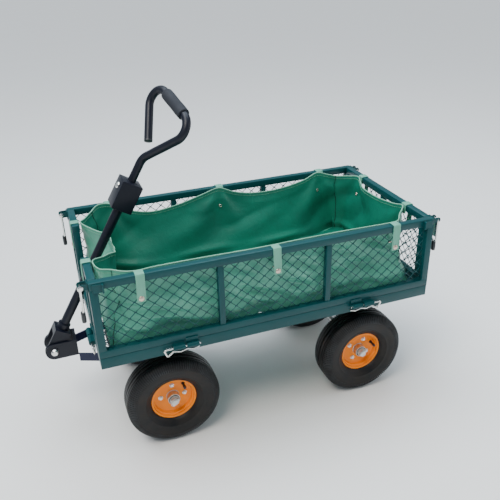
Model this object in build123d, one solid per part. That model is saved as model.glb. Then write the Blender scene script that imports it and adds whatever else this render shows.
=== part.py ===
from build123d import *
import os
from math import atan2, cos, degrees, pi, radians, sin, sqrt

os.makedirs("parts", exist_ok=True)

# ---- driving dimensions (mm) -------------------------------------------------------------
BED_L = 940.0          # bed length along X
BED_W = 490.0          # bed width along Y
BASE_BOT = 311.0       # underside of the base frame
BASE_H = 31.5          # base frame height
PANEL_H = 212.0        # side panel height
TUBE = 20.0            # square tube of the panel frames
POST = 16.0            # square tube of the middle posts
WALL = 1.5             # tube wall
WHEEL_R = 130.0        # tyre outside radius
TYRE_W = 84.0          # tyre width
TRACK = 182.0          # wheel centre, distance from the middle plane
WHEEL_X = 290.0        # axle distance from the bed centre
RIM_R = 63.0           # rim flange radius
AXLE_R = 8.0
RUN = 0.05             # running clearance, radial
GAP = 0.5              # clearance between moving assemblies
HINGE_OUT = 9.0        # hinge axis outside the panel face
PIN_R = 2.5            # hinge pin and clip wire
MESH_X, MESH_Z = 31.3, 27.0   # diamond pitch, along and across
STRAND = 2.2           # mesh strand width
POLE_R = 12.5
LOOP_R = 11.0
LEAN = 30.8            # parked pole, degrees from vertical
PIVOT_OUT = 104.0      # handle pivot ahead of the bed end
PIVOT_Z = 250.0
NOTCH_HALF = 100.0     # half width of the gap in the front panel
LINER_T = 2.0
STRAP_W, STRAP_T = 22.0, 2.4

HX, HY = BED_L / 2, BED_W / 2
BASE_TOP = BASE_BOT + BASE_H
RAIL0 = BASE_TOP + GAP             # underside of the panels
TOP = RAIL0 + PANEL_H              # top of the rails
IN_X, IN_Y = HX - TUBE, HY - TUBE
AXIS_Z = BASE_TOP - 10.5           # fold axis height
AXLE_Z = WHEEL_R
LAT = (Align.CENTER, Align.CENTER, Align.MIN)


def save(solids, node):
    """Write one node; a list of solids goes out as one compound."""
    flat = []
    for item in solids if isinstance(solids, (list, tuple)) else [solids]:
        flat += item.solids()
    export_step(flat[0] if len(flat) == 1 else Compound(children=flat), f"parts/{node}.step")


def blk(x0, x1, y0, y1, z0, z1):
    """Axis-aligned block between two corners given in any order."""
    return Pos((x0 + x1) / 2, (y0 + y1) / 2, (z0 + z1) / 2) * Box(
        abs(x1 - x0), abs(y1 - y0), abs(z1 - z0))


def cyl(p, d, r, h):
    """Cylinder from point p along direction d."""
    return Plane(origin=p, z_dir=d) * Cylinder(r, h, align=LAT)


def tube(x0, x1, y0, y1, z0, z1, axis):
    """Square tube, open at both ends along axis 0, 1 or 2."""
    lo, hi = [min(x0, x1), min(y0, y1), min(z0, z1)], [max(x0, x1), max(y0, y1), max(z0, z1)]
    a = [v + (WALL if i != axis else -1) for i, v in enumerate(lo)]
    b = [v - (WALL if i != axis else -1) for i, v in enumerate(hi)]
    return blk(lo[0], hi[0], lo[1], hi[1], lo[2], hi[2]) - blk(a[0], b[0], a[1], b[1], a[2], b[2])


def mirror_y(solids):
    return [s.mirror(Plane.XZ) for s in solids]


def clip_poly(pts, x0, x1, y0, y1):
    """Clip a convex polygon to a rectangle."""
    for ax, lim, sg in ((0, x0, 1), (0, x1, -1), (1, y0, 1), (1, y1, -1)):
        out = []
        for i, q in enumerate(pts):
            p = pts[i - 1]
            dp, dq = sg * (p[ax] - lim), sg * (q[ax] - lim)
            if dp * dq < 0:
                t = dp / (dp - dq)
                out.append((p[0] + t * (q[0] - p[0]), p[1] + t * (q[1] - p[1])))
            if dq >= 0:
                out.append(q)
        pts = out
        if len(pts) < 3:
            return []
    return pts


def area(pts):
    return abs(sum(pts[i - 1][0] * q[1] - q[0] * pts[i - 1][1] for i, q in enumerate(pts))) / 2


def mesh_sheet(plane, x0, x1, y0, y1, px, py, strand, thick):
    """Sheet with staggered diamond holes, drawn on a plane and given thickness about it."""
    nx, ny = max(1, round((x1 - x0) / px)), max(1, round((y1 - y0) / py))
    px, py = (x1 - x0) / nx, (y1 - y0) / ny
    k = strand / 2 * sqrt(1 / px ** 2 + 1 / py ** 2) * 2
    hx, hy = px / 2 * (1 - k), py / 2 * (1 - k)
    holes = []
    for j in range(-1, 2 * ny + 2):
        for i in range(-1, nx + 2):
            cx = x0 + (i + (0.5 if j % 2 else 0)) * px
            cy = y0 + j * py / 2
            rim = strand * 0.6
            pts = clip_poly([(cx - hx, cy), (cx, cy - hy), (cx + hx, cy), (cx, cy + hy)],
                            x0 + rim, x1 - rim, y0 + rim, y1 - rim)
            if len(pts) > 2 and area(pts) > 12:
                holes.append(Wire.make_polygon([plane.from_local_coords((*p, 0)) for p in pts]))
    outer = Wire.make_polygon([plane.from_local_coords((*p, 0)) for p in
                               ((x0, y0), (x1, y0), (x1, y1), (x0, y1))])
    return extrude(Face(outer, holes), amount=thick / 2, dir=plane.z_dir, both=True)


def wire(pts, r, bend):
    """Round wire along a filleted polyline."""
    path = FilletPolyline(*pts, radius=bend) if len(pts) > 2 else Line(*pts)
    start = Plane(origin=path @ 0, z_dir=path % 0)
    return sweep(start * Circle(r), path=path)


# ---- frames: local u runs along the panel, the panel face sits at +out ---------------------
def panel_frame(half, posts):
    """Tube frame in panel space: u along, v outward from -TUBE to 0, z up."""
    z0, z1 = RAIL0, TOP
    out = [tube(-half, half, -TUBE, 0, z0, z0 + TUBE, 0), tube(-half, half, -TUBE, 0, z1 - TUBE, z1, 0)]
    for s in (-1, 1):
        out.append(tube(s * half, s * (half - TUBE), -TUBE, 0, z0 + TUBE, z1 - TUBE, 2))
    for p in posts:
        m = (TUBE - POST) / 2
        out.append(tube(p - POST / 2, p + POST / 2, -TUBE + m, -m, z0 + TUBE, z1 - TUBE, 2))
    return out


def sections(half, posts):
    edges = [-half + TUBE] + [e for p in posts for e in (p - POST / 2, p + POST / 2)] + [half - TUBE]
    return list(zip(edges[::2], edges[1::2]))


def panel_mesh(half, posts):
    pl = Plane(origin=(0, -TUBE / 2, 0), x_dir=(1, 0, 0), z_dir=(0, -1, 0))
    e = 0.1
    return [mesh_sheet(pl, a + e, b - e, RAIL0 + TUBE + e, TOP - TUBE - e, MESH_X, MESH_Z, STRAND, 2)
            for a, b in sections(half, posts)]


def strap(u):
    """Strap over the top rail with its press stud; hangs on the outer face."""
    t, g = STRAP_T, 0.3
    z1 = TOP + g + t
    s = blk(u - STRAP_W / 2, u + STRAP_W / 2, g, g + t, TOP - 73, z1)
    s += blk(u - STRAP_W / 2, u + STRAP_W / 2, -TUBE - g - t, g + t, TOP + g, z1)
    s += blk(u - STRAP_W / 2, u + STRAP_W / 2, -TUBE - g - t, -TUBE - g, TOP - 26, z1)
    s += cyl((u, g + t, TOP - 64), (0, 1, 0), 6.5, 3)
    return s


def panel_barrel(u0, u1):
    """Fold barrel of the panel with its tab on the bottom rail."""
    s = cyl((u0, HINGE_OUT, AXIS_Z), (1, 0, 0), 7, u1 - u0)
    s += blk(u0, u1, 0, 3.5, AXIS_Z, RAIL0 + 8)
    return s - cyl((u0 - 1, HINGE_OUT, AXIS_Z), (1, 0, 0), PIN_R + RUN, u1 - u0 + 2)


def base_barrel(u0, u1):
    """Fold barrel of the base frame, welded to its outer face."""
    s = cyl((u0, HINGE_OUT, AXIS_Z), (1, 0, 0), 7, u1 - u0)
    s += blk(u0, u1, -GAP, HINGE_OUT - 4, AXIS_Z - 6, AXIS_Z + 6)
    return s - cyl((u0 - 1, HINGE_OUT, AXIS_Z), (1, 0, 0), PIN_R + RUN, u1 - u0 + 2)


def clip(u, s):
    """Spring clip used as fold pin; s is the side its loop points to."""
    y1, y2, z = HINGE_OUT, PIN_R + 0.8, AXIS_Z
    pts = [(u - s * 38, y1, z), (u + s * 58, y1, z), (u + s * 50, (y1 + y2) / 2, z - 24),
           (u + s * 32, y2, z - 12.5), (u + s * 14, y2, z - 17), (u - s * 4, y2, z - 12.5),
           (u - s * 20, y2, z - 17), (u - s * 36, y2, z - 12.5)]
    return wire(pts, PIN_R, 4.5)


def hinge_set(u, s):
    """(base barrel, panel barrel, clip) of one fold hinge centred at u."""
    a, b, c, d = u + s * 34, u + s * 2, u - s * 2, u - s * 34
    return (base_barrel(min(a, b), max(a, b)), panel_barrel(min(c, d), max(c, d)), clip(u, s))


def place_side(item, side):
    """Panel space to the left (-1) or right (+1) side of the bed."""
    if side < 0:
        return item.rotate(Axis.Z, 180).translate((0, -HY, 0))
    return item.translate((0, HY, 0))


def place_end(item, end):
    """Panel space to the front (-1) or rear (+1) end of the bed."""
    return item.rotate(Axis.Z, 90 if end < 0 else -90).translate((end * HX, 0, 0))


SIDE_POSTS = (-150.0 * BED_L / 940, 150.0 * BED_L / 940)
STRAP_X = HX - 120
HINGE_X = HX - 215
END_HALF = IN_Y - GAP
HINGE_Y = END_HALF * 0.52
END_STRAP = END_HALF * 0.56

base_hinges, clips = [], []
keep = blk(HX - 34, HX - 8, 0, 3, TOP - 26, TOP - 4) + blk(HX - 34, HX - 30, 3, 9, TOP - 26, TOP - 4)
for name, side in (("left", -1), ("right", 1)):
    save([place_side(s, side) for s in panel_frame(HX, SIDE_POSTS)], f"{name}_panel_frame")
    save([place_side(s, side) for s in panel_mesh(HX, SIDE_POSTS)], f"{name}_panel_mesh")
    save([place_side(strap(u), side) for u in (-STRAP_X, 0.0, STRAP_X)], f"{name}_straps")
    fit = [keep, keep.mirror(Plane.YZ)]
    for u in (-HINGE_X, HINGE_X):
        b, p, c = hinge_set(u, 1 if u > 0 else -1)
        base_hinges.append(place_side(b, side))
        clips.append(place_side(c, side))
        fit.append(p)
    save([place_side(s, side) for s in fit], f"{name}_panel_fittings")

# ---- latch brackets and latches -------------------------------------------------------------
LATCH_U = END_HALF + 3
LATCH_OUT = 18.0
LATCH_Z = TOP - 11


def bracket(u):
    """Two ears and a back plate that carry a latch."""
    s = blk(u - 11, u + 11, 0.6, 3, TOP - 26, TOP)
    inner = u - 3 if u > 0 else u + 3
    s += blk(inner, u - 11 if u > 0 else u + 11, 0, 1, TOP - 26, TOP)
    for e in (-1, 1):
        ear = blk(u + e * 8.5, u + e * 11, 0.6, LATCH_OUT, LATCH_Z - 7, LATCH_Z + 7)
        ear += cyl((u + min(e * 8.5, e * 11), LATCH_OUT, LATCH_Z), (1, 0, 0), 7, 2.5)
        s += ear
    return s - cyl((u - 20, LATCH_OUT, LATCH_Z), (1, 0, 0), 2 + RUN, 40)


def latch(u):
    """Wire bail hanging from the bracket, with its pull grip."""
    w, drop, r = 6.0, 58.0, 2.0
    pts = [(u - 14, LATCH_OUT, LATCH_Z), (u + w, LATCH_OUT, LATCH_Z), (u + w, LATCH_OUT, LATCH_Z - drop),
           (u, LATCH_OUT + 2, LATCH_Z - drop - 8), (u, LATCH_OUT + 2, LATCH_Z - drop - 26)]
    bail = wire(pts, r, 4)
    plate = blk(u - 6, u + w - r - 0.2, LATCH_OUT - 1, LATCH_OUT + 1, LATCH_Z - drop + 3, LATCH_Z - 9)
    grip = cyl((u, LATCH_OUT + 2, LATCH_Z - drop - 40), (0, 0, 1), 6, 30) - cyl(
        (u, LATCH_OUT + 2, LATCH_Z - drop - 27), (0, 0, 1), r + RUN, 30)
    return [bail, plate, grip]


for end, tag in ((-1, "front"), (1, "rear")):
    for name, side in (("left", -1), ("right", 1)):
        u = side * LATCH_U * (1 if end < 0 else -1)
        save([place_end(s, end) for s in latch(u)], f"latch_{tag}_{name}")

# ---- rear panel -----------------------------------------------------------------------------
save([place_end(s, 1) for s in panel_frame(END_HALF, (0.0,))], "rear_panel_frame")
save([place_end(s, 1) for s in panel_mesh(END_HALF, (0.0,))], "rear_panel_mesh")
save([place_end(strap(u), 1) for u in (-END_STRAP, END_STRAP)], "rear_straps")
rear_fit = [bracket(-LATCH_U), bracket(LATCH_U)]
for u in (-HINGE_Y, HINGE_Y):
    b, p, c = hinge_set(u, 1 if u > 0 else -1)
    base_hinges.append(place_end(b, 1))
    clips.append(place_end(c, 1))
    rear_fit.append(p)
save([place_end(s, 1) for s in rear_fit], "rear_panel_fittings")

# ---- front panel with its gap for the pole ----------------------------------------------------
N = NOTCH_HALF
zb, zt = RAIL0 + TUBE, TOP - TUBE
front = [tube(-END_HALF, END_HALF, -TUBE, 0, RAIL0, zb, 0)]
for s in (-1, 1):
    front.append(tube(s * END_HALF, s * (END_HALF - TUBE), -TUBE, 0, zb, zt, 2))
    front.append(tube(s * N, s * (N + TUBE), -TUBE, 0, zb, zt, 2))
    front.append(tube(s * N, s * END_HALF, -TUBE, 0, zt, TOP, 0))
save([place_end(s, -1) for s in front], "front_panel_frame")
pl = Plane(origin=(0, -TUBE / 2, 0), x_dir=(1, 0, 0), z_dir=(0, -1, 0))
a, b = N + TUBE + 0.1, END_HALF - TUBE - 0.1
sheet = mesh_sheet(pl, a, b, zb + 0.1, zt - 0.1, MESH_X, MESH_Z, STRAND, 2)
save([place_end(s, -1) for s in (sheet, sheet.mirror(Plane.YZ))], "front_panel_mesh")
save([place_end(strap(u), -1) for u in (-END_STRAP, END_STRAP)], "front_straps")
save([place_end(bracket(u), -1) for u in (-LATCH_U, LATCH_U)], "front_latch_brackets")
for u in (-HINGE_Y, HINGE_Y):
    b, p, c = hinge_set(u, 1 if u > 0 else -1)
    base_hinges += [place_end(b, -1), place_end(p, -1)]
    clips.append(place_end(c, -1))
save(base_hinges, "base_hinge_barrels")
save(clips, "hinge_clips")

# ---- base frame, bed mesh and cross members ---------------------------------------------------
bx, by = HX - GAP, HY - GAP
base = []
for s in (-1, 1):
    base.append(tube(-bx, bx, s * by, s * (by - TUBE), BASE_BOT, BASE_TOP, 0))
    base.append(tube(s * bx, s * (bx - TUBE), -by + TUBE, by - TUBE, BASE_BOT, BASE_TOP, 1))
bars = [s * BED_L / 4 for s in (-1, 0, 1)]
for x in bars:
    base.append(tube(x - TUBE / 2, x + TUBE / 2, -by + TUBE, by - TUBE, BASE_BOT + 2, BASE_TOP - 4.2, 1))
save(base, "base_frame")
m = 0.1
save(mesh_sheet(Plane.XY.offset(BASE_TOP - 2.6), -bx + TUBE + m, bx - TUBE - m, -by + TUBE + m,
                by - TUBE - m, 48, 32, 3, 3), "bed_mesh")
MEM_H, MEM_W = 26.0, 34.0
MITRE = 52.0           # how far the lower edge of a cross member is cut back
MEM0 = BASE_BOT - MEM_H
members = []
for x in (-WHEEL_X, WHEEL_X):
    t = tube(x - MEM_W / 2, x + MEM_W / 2, -by, by, MEM0, BASE_BOT, 1)
    if x < 0:
        t -= cyl((x, 0, MEM0 - 5), (0, 0, 1), AXLE_R + RUN, MEM_H + 20)
    for s in (-1, 1):      # ends cut back under the base rail
        wedge = Plane.YZ * make_face(Polyline((s * (by - MITRE), MEM0 - 1), (s * (by + 2), MEM0 - 1),
                                              (s * (by + 2), BASE_BOT), (s * by, BASE_BOT - 0.5),
                                              close=True))
        t -= Pos(x, 0, 0) * extrude(wedge, MEM_W, both=True)
    members.append(t)
save(members, "cross_members")

PLATE = 6.0
turn0 = MEM0 - PLATE
save(blk(-WHEEL_X - 75, -WHEEL_X + 75, -75, 75, turn0, MEM0)
     - cyl((-WHEEL_X, 0, turn0 - 5), (0, 0, 1), AXLE_R + RUN, 20), "turntable_plate")
swiv1 = turn0 - GAP
swiv0 = swiv1 - PLATE
pin = cyl((-WHEEL_X, 0, swiv0 - PLATE - 16), (0, 0, 1), AXLE_R, BASE_BOT - swiv0 + PLATE + 20)
head = Plane(origin=(-WHEEL_X, 0, BASE_BOT + 0.2)) * extrude(RegularPolygon(13, 6), 7)
nut = Plane(origin=(-WHEEL_X, 0, swiv0 - PLATE - 12)) * extrude(RegularPolygon(13, 6), 11)
save(pin + head + nut, "kingpin_bolt")
save(cyl((-WHEEL_X, 0, swiv0), (0, 0, 1), 72, PLATE)
     - cyl((-WHEEL_X, 0, swiv0 - 5), (0, 0, 1), AXLE_R + RUN, 20), "swivel_plate")

# ---- axle stands and axles ----------------------------------------------------------------------
LEG_Y, LEG_T, LEG_W = 112.0, 6.0, 44.0


def axle_stand(x, z1):
    """Top plate with two drop legs, bored for the axle."""
    top = blk(x - LEG_W / 2, x + LEG_W / 2, -LEG_Y - LEG_T, LEG_Y + LEG_T, z1 - PLATE, z1)
    if x < 0:
        top -= cyl((x, 0, z1 - 20), (0, 0, 1), AXLE_R + RUN, 40)
    out = [top]
    for s in (-1, 1):
        leg = blk(x - LEG_W / 2, x + LEG_W / 2, s * LEG_Y, s * (LEG_Y + LEG_T), AXLE_Z, z1 - PLATE)
        leg += cyl((x, s * LEG_Y, AXLE_Z), (0, s, 0), LEG_W / 2, LEG_T)
        out.append(leg - cyl((x, s * (LEG_Y - 5), AXLE_Z), (0, s, 0), AXLE_R + RUN, LEG_T + 10))
        brace = blk(x - 3, x + 3, s * (LEG_Y - 0.1), s * (LEG_Y - 44), z1 - PLATE - 44, z1 - PLATE)
        cut = Plane.YZ.offset(x - 5) * extrude(
            Polygon((s * LEG_Y - s, z1 - PLATE - 45), (s * (LEG_Y - 46), z1 - PLATE - 45),
                    (s * (LEG_Y - 46), z1 - PLATE - 2), align=None), 10)
        out.append(brace - cut)
    return out


HUB_H = 24.0


def axle_rod(x):
    """Axle with inner collars, end washers and nuts."""
    end = TRACK + HUB_H + 14
    rod = cyl((x, -end, AXLE_Z), (0, 1, 0), AXLE_R, 2 * end)
    for s in (-1, 1):
        rod += cyl((x, s * (TRACK - HUB_H - 10), AXLE_Z), (0, s, 0), 13, 9.6)
        rod += cyl((x, s * (TRACK + HUB_H + 0.4), AXLE_Z), (0, s, 0), 13, 2)
        hexa = Plane(origin=(x, s * (TRACK + HUB_H + 2.4), AXLE_Z), z_dir=(0, s, 0)) * extrude(
            RegularPolygon(12, 6), 8)
        rod += hexa
    return rod


save(axle_stand(WHEEL_X, MEM0), "rear_axle_stand")
save(axle_rod(WHEEL_X), "rear_axle_rod")
stand_top = swiv0
save(axle_stand(-WHEEL_X, stand_top), "front_axle_stand")
save(axle_rod(-WHEEL_X), "front_axle_rod")

# ---- wheels ---------------------------------------------------------------------------------------
BOLT_PCD = 68.0


def spun(pts):
    """Revolve a (radius, width) outline about the wheel axis, Y."""
    face = Plane.XY * make_face(Polyline(*pts, close=True))
    return revolve(face, Axis.Y, 360)


def tyre():
    r0, w = RIM_R + 0.3, TYRE_W / 2
    sk = make_face(Polyline((r0, -26), (r0 + 18, -w), (WHEEL_R - 30, -w), (WHEEL_R - 8, -w + 6),
                            (WHEEL_R, -w + 20), (WHEEL_R, w - 20), (WHEEL_R - 8, w - 6),
                            (WHEEL_R - 30, w), (r0 + 18, w), (r0, 26), (r0, 18.4),
                            (RIM_R - 2.9, 18.4), (RIM_R - 2.9, -18.4), (r0, -18.4), close=True))
    return revolve(sk, Axis.Y, 360)


def rim_half():
    r, t = RIM_R - 3, 2.5
    body = spun([(17 + RUN, 0.05), (r, 0.05), (r, 18.7), (RIM_R, 18.7), (RIM_R, 21), (r - t, 21),
                 (r - t, 0.05 + t), (17 + RUN, 0.05 + t)])
    for k in range(4):
        a = radians(90 * k)
        body -= cyl((BOLT_PCD / 2 * cos(a), -5, BOLT_PCD / 2 * sin(a)), (0, 1, 0), 4 + RUN, 20)
    return body


TYRE = tyre()
HALF = rim_half()
HUB = Plane.XZ * Cylinder(17, 2 * HUB_H) - Plane.XZ * Cylinder(AXLE_R + RUN, 3 * HUB_H)
BOLTS = []
for k in range(4):
    a = radians(90 * k)
    c = (BOLT_PCD / 2 * cos(a), BOLT_PCD / 2 * sin(a))
    one = cyl((c[0], -7, c[1]), (0, 1, 0), 4, 14)
    for s in (-1, 1):
        one += Plane(origin=(c[0], s * 2.7, c[1]), z_dir=(0, s, 0)) * extrude(RegularPolygon(7.5, 6), 5)
    BOLTS.append(one)
VALVE_AT = 45 / sqrt(2)
VALVE = (cyl((-VALVE_AT, 2.8, VALVE_AT), (0, 1, 0), 3.2, 24)
         + cyl((-VALVE_AT, 20, VALVE_AT), (0, 1, 0), 4.2, 7))
for tag, x, side in (("fl", -1, -1), ("fr", -1, 1), ("rl", 1, -1), ("rr", 1, 1)):
    at = (x * WHEEL_X, side * TRACK, AXLE_Z)
    flip = 180 if side < 0 else 0

    def put(s, at=at, flip=flip, spin=-30 if x > 0 else 0):
        return s.rotate(Axis.Y, spin).rotate(Axis.Z, flip).translate(at)

    save([put(TYRE), put(VALVE)], f"tyre_{tag}")
    save([put(HALF), put(HALF.mirror(Plane.XZ))], f"rim_{tag}")
    save([put(HUB)], f"hub_{tag}")
    save([put(s) for s in BOLTS], f"rim_bolts_{tag}")

# ---- drawbar --------------------------------------------------------------------------------------
PX = -HX - PIVOT_OUT
CHEEK_Y, CHEEK_T, CHEEK_R = 27.0, 5.0, 24.0
BOLT_R = 6.0
back = PX + 62
clevis = blk(back - 8, back, -CHEEK_Y - CHEEK_T, CHEEK_Y + CHEEK_T, PIVOT_Z - CHEEK_R, PIVOT_Z + CHEEK_R)
for s in (-1, 1):
    cheek = blk(PX, back, s * CHEEK_Y, s * (CHEEK_Y + CHEEK_T), PIVOT_Z - CHEEK_R, PIVOT_Z + CHEEK_R)
    cheek += cyl((PX, s * CHEEK_Y, PIVOT_Z), (0, s, 0), CHEEK_R, CHEEK_T)
    cheek -= cyl((PX, s * (CHEEK_Y - 5), PIVOT_Z), (0, s, 0), BOLT_R + RUN, CHEEK_T + 10)
    clevis += cheek
save(clevis, "drawbar_clevis")
arms = []
x_end, y_end = -WHEEL_X - LEG_W / 2 - 0.2, LEG_Y + LEG_T / 2
x_beg, y_beg = back + 0.2, CHEEK_Y + 2
for s in (-1, 1):
    ang = atan2(y_end - y_beg, x_end - x_beg)
    nx, ny = -sin(ang) * 2.5, cos(ang) * 2.5
    pts = [(x_beg, s * (y_beg - ny * 1.05)), (x_end, s * (y_end - ny * 1.05)),
           (x_end, s * (y_end + ny * 1.05)), (x_beg, s * (y_beg + ny * 1.05))]
    arms.append(Plane.XY.offset(PIVOT_Z - 22) * extrude(Polygon(*pts, align=None), 25))
save(arms, "drawbar_arms")
bolt = cyl((PX, -CHEEK_Y - CHEEK_T - 4, PIVOT_Z), (0, 1, 0), BOLT_R, 2 * (CHEEK_Y + CHEEK_T) + 14)
dome = Pos(PX, -CHEEK_Y - CHEEK_T - 0.1, PIVOT_Z) * Sphere(11)
dome &= blk(PX - 20, PX + 20, -CHEEK_Y - CHEEK_T - 9, -CHEEK_Y - CHEEK_T - 0.1, PIVOT_Z - 20, PIVOT_Z + 20)
nut2 = Plane(origin=(PX, CHEEK_Y + CHEEK_T + 0.1, PIVOT_Z), z_dir=(0, 1, 0)) * extrude(
    RegularPolygon(10, 6), 8)
save(bolt + dome + nut2, "pivot_bolt")

# ---- handle: local x to the rear and down, y across, z along the pole ---------------------------------
ln = radians(LEAN)
HP = Plane(origin=(PX, 0, PIVOT_Z), x_dir=(cos(ln), 0, -sin(ln)), z_dir=(sin(ln), 0, cos(ln)))
BOX0, BOX1 = 443.0, 521.0
lugs = blk(-22, 22, -26, 26, 44, 62)
for s in (-1, 1):
    lug = blk(-22, 22, s * 18.5, s * 26, 0, 62) + cyl((0, s * 18.5, 0), (0, s, 0), 25, 7.5)
    lugs += lug
lugs += cyl((0, 0, 62), (0, 0, 1), 17, 16)
lugs -= cyl((0, -40, 0), (0, 1, 0), BOLT_R + 0.06, 80)
lugs -= cyl((0, 0, 46), (0, 0, 1), POLE_R + RUN, 60)
save(HP * lugs, "handle_yoke")
pole = cyl((0, 0, 46.2), (0, 0, 1), POLE_R, BOX0 + 12 - 46.2) - cyl((0, 0, 40), (0, 0, 1), POLE_R - 2, 500)
save(HP * pole, "lower_pole")
t = 4.0
box = blk(-28, 28, -31, 31, BOX0, BOX1) - blk(-28 + t, 28 - t, -31 + t, 31 - t, BOX0 + t, BOX1 - t)
box -= cyl((0, 0, BOX0 - 5), (0, 0, 1), POLE_R + RUN, 20)
box -= cyl((0, 0, BOX1 - 10), (0, 0, 1), LOOP_R + RUN, 20)
box -= cyl((0, 0, BOX1 - 22), (-1, 0, 0), 5 + RUN, 60)
save(HP * box, "hitch_box")
TWIST = radians(20)
CORNERS = [(BOX1 - 14, 0), (588, 0), (727, -143), (782, 120), (636, 9)]


def loop_pt(s, w):
    """Point of the hand loop: s along the pole, w across it in the loop's own plane."""
    return (-w * sin(TWIST), w * cos(TWIST), s)


loop = FilletPolyline(*[loop_pt(*c) for c in CORNERS], radius=36)
bar = sweep(Plane(origin=loop @ 0, z_dir=loop % 0) * Circle(LOOP_R), path=loop)
save(HP * bar, "upper_handle")
c0, c1 = Vector(*loop_pt(727, -143)), Vector(*loop_pt(782, 120))
d = (c1 - c0).normalized()
g0, glen = c0 + d * 69, 99.0
save(HP * (cyl(tuple(g0), tuple(d), 15.5, glen) - cyl(tuple(g0 - d * 5), tuple(d), LOOP_R + RUN, glen + 10)),
     "foam_grip")
e1 = loop % 1
save(HP * cyl(tuple((loop @ 1) + e1 * 0.1), tuple(e1), LOOP_R, 4), "handle_end_plug")
hb = cyl((-28.1, 0, BOX1 - 22), (1, 0, 0), 5, 40)
hb += cyl((-28.1, 0, BOX1 - 22), (-1, 0, 0), 9, 5)
save(HP * hb, "hitch_bolt")

# ---- liner --------------------------------------------------------------------------------------------
LY = IN_Y - 3.5
LX0, LX1 = -(HX - 23), HX - 30
LZ0, LZ1 = RAIL0, TOP - 3.5
DENT_X, DENT_Y = -(HX - 112), 62.0


def liner_outline(dent, o):
    """Plan of the liner at one height, shrunk inward by o."""
    x0, x1, y = LX0 + o, LX1 - o, LY - o
    k = o * 0.42
    half = [(x0, 125 - k), (x0, LY - 46 - k), (x0 + 32 + k * 0 + 0.0, y), (x1 - 46, y), (x1, LY - 52 - k)]
    top = [(dent + o, DENT_Y)] + half
    return top + [(a, -b) for a, b in reversed(top)]


def liner_block(o, z0, z1):
    n = len(liner_outline(LX0, o))
    a = [Vector(x, y, z0) for x, y in liner_outline(LX0 + 0.0, o)]
    f1 = (z1 - LZ0) / (LZ1 - LZ0)
    b = [Vector(x, y, z1) for x, y in liner_outline(LX0 + (DENT_X - LX0) * f1, o)]
    low = Face(Wire.make_polygon(a))
    high = Face(Wire.make_polygon(b))
    walls = []
    for i in range(n):
        j = (i + 1) % n
        walls.append(Face(Wire.make_polygon([a[i], a[j], b[j]])))
        walls.append(Face(Wire.make_polygon([a[i], b[j], b[i]])))
    return Solid(Shell([low, high] + walls))


outer = liner_block(0, LZ0, LZ1)
inner = liner_block(LINER_T, LZ0 + LINER_T, LZ1 + 0.001)
save(Part() + outer - inner - blk(-HX, HX, -HY, HY, LZ1 - 0.0005, LZ1 + 5), "liner")
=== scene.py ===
"""Garden cart: the visible pieces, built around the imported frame."""
import logging
import math
from dataclasses import dataclass, field
from enum import Enum
from typing import Any, Iterable, Sequence

import bmesh
import bpy
from mathutils import Matrix, Vector, noise


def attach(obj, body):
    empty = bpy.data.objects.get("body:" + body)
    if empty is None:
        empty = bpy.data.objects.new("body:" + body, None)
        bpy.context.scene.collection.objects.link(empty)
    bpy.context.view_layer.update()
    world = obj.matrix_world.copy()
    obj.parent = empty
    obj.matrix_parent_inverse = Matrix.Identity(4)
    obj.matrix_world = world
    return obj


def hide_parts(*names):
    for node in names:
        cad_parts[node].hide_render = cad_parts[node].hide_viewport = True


LOG = logging.getLogger("garden_cart")
MM = 0.001
Point = Sequence[float]
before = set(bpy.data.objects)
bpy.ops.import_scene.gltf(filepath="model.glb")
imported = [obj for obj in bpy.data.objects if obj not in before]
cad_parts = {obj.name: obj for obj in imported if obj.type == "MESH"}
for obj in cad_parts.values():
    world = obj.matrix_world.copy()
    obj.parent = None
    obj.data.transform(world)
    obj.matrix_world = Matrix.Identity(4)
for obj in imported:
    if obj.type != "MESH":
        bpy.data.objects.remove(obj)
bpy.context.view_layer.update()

# Sizes of the frame that several sub-assemblies share, in millimetres.
HALF_L, HALF_W = 470.0, 245.0
TUBE, POST = 20.0, 16.0
RAIL0, TOP = 343.0, 555.0
BASE0, BASE1 = 311.0, 342.5
END_HALF = 224.5
STRAP_W = 22.0


# ---- colours, nodes and finishes ----------------------------------------------------------------
def tone(code: str) -> tuple[float, ...]:
    """Turn an sRGB hex colour into linear light.

    Args:
        code: Six hex digits.

    Returns:
        Linear red, green and blue, and an alpha of 1.
    """
    parts = [int(code[i:i + 2], 16) / 255 for i in (0, 2, 4)]
    return (*[c / 12.92 if c <= 0.04045 else ((c + 0.055) / 1.055) ** 2.4 for c in parts], 1.0)


def add_node(tree: bpy.types.NodeTree, kind: str, settings: dict[Any, Any] | None = None,
             wires: dict[Any, Any] | None = None) -> bpy.types.Node:
    """Add one node with its settings and incoming links.

    Args:
        tree: Node tree that takes the node.
        kind: Blender's identifier of the node type.
        settings: Input values by name or index, or attributes by name.
        wires: Source sockets by the input's name or index.

    Returns:
        The new node.
    """
    node = tree.nodes.new(kind)
    for key, value in (settings or {}).items():
        if isinstance(key, int) or key in node.inputs:
            node.inputs[key].default_value = value
        else:
            setattr(node, key, value)
    for key, source in (wires or {}).items():
        tree.links.new(source, node.inputs[key])
    return node


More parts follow.
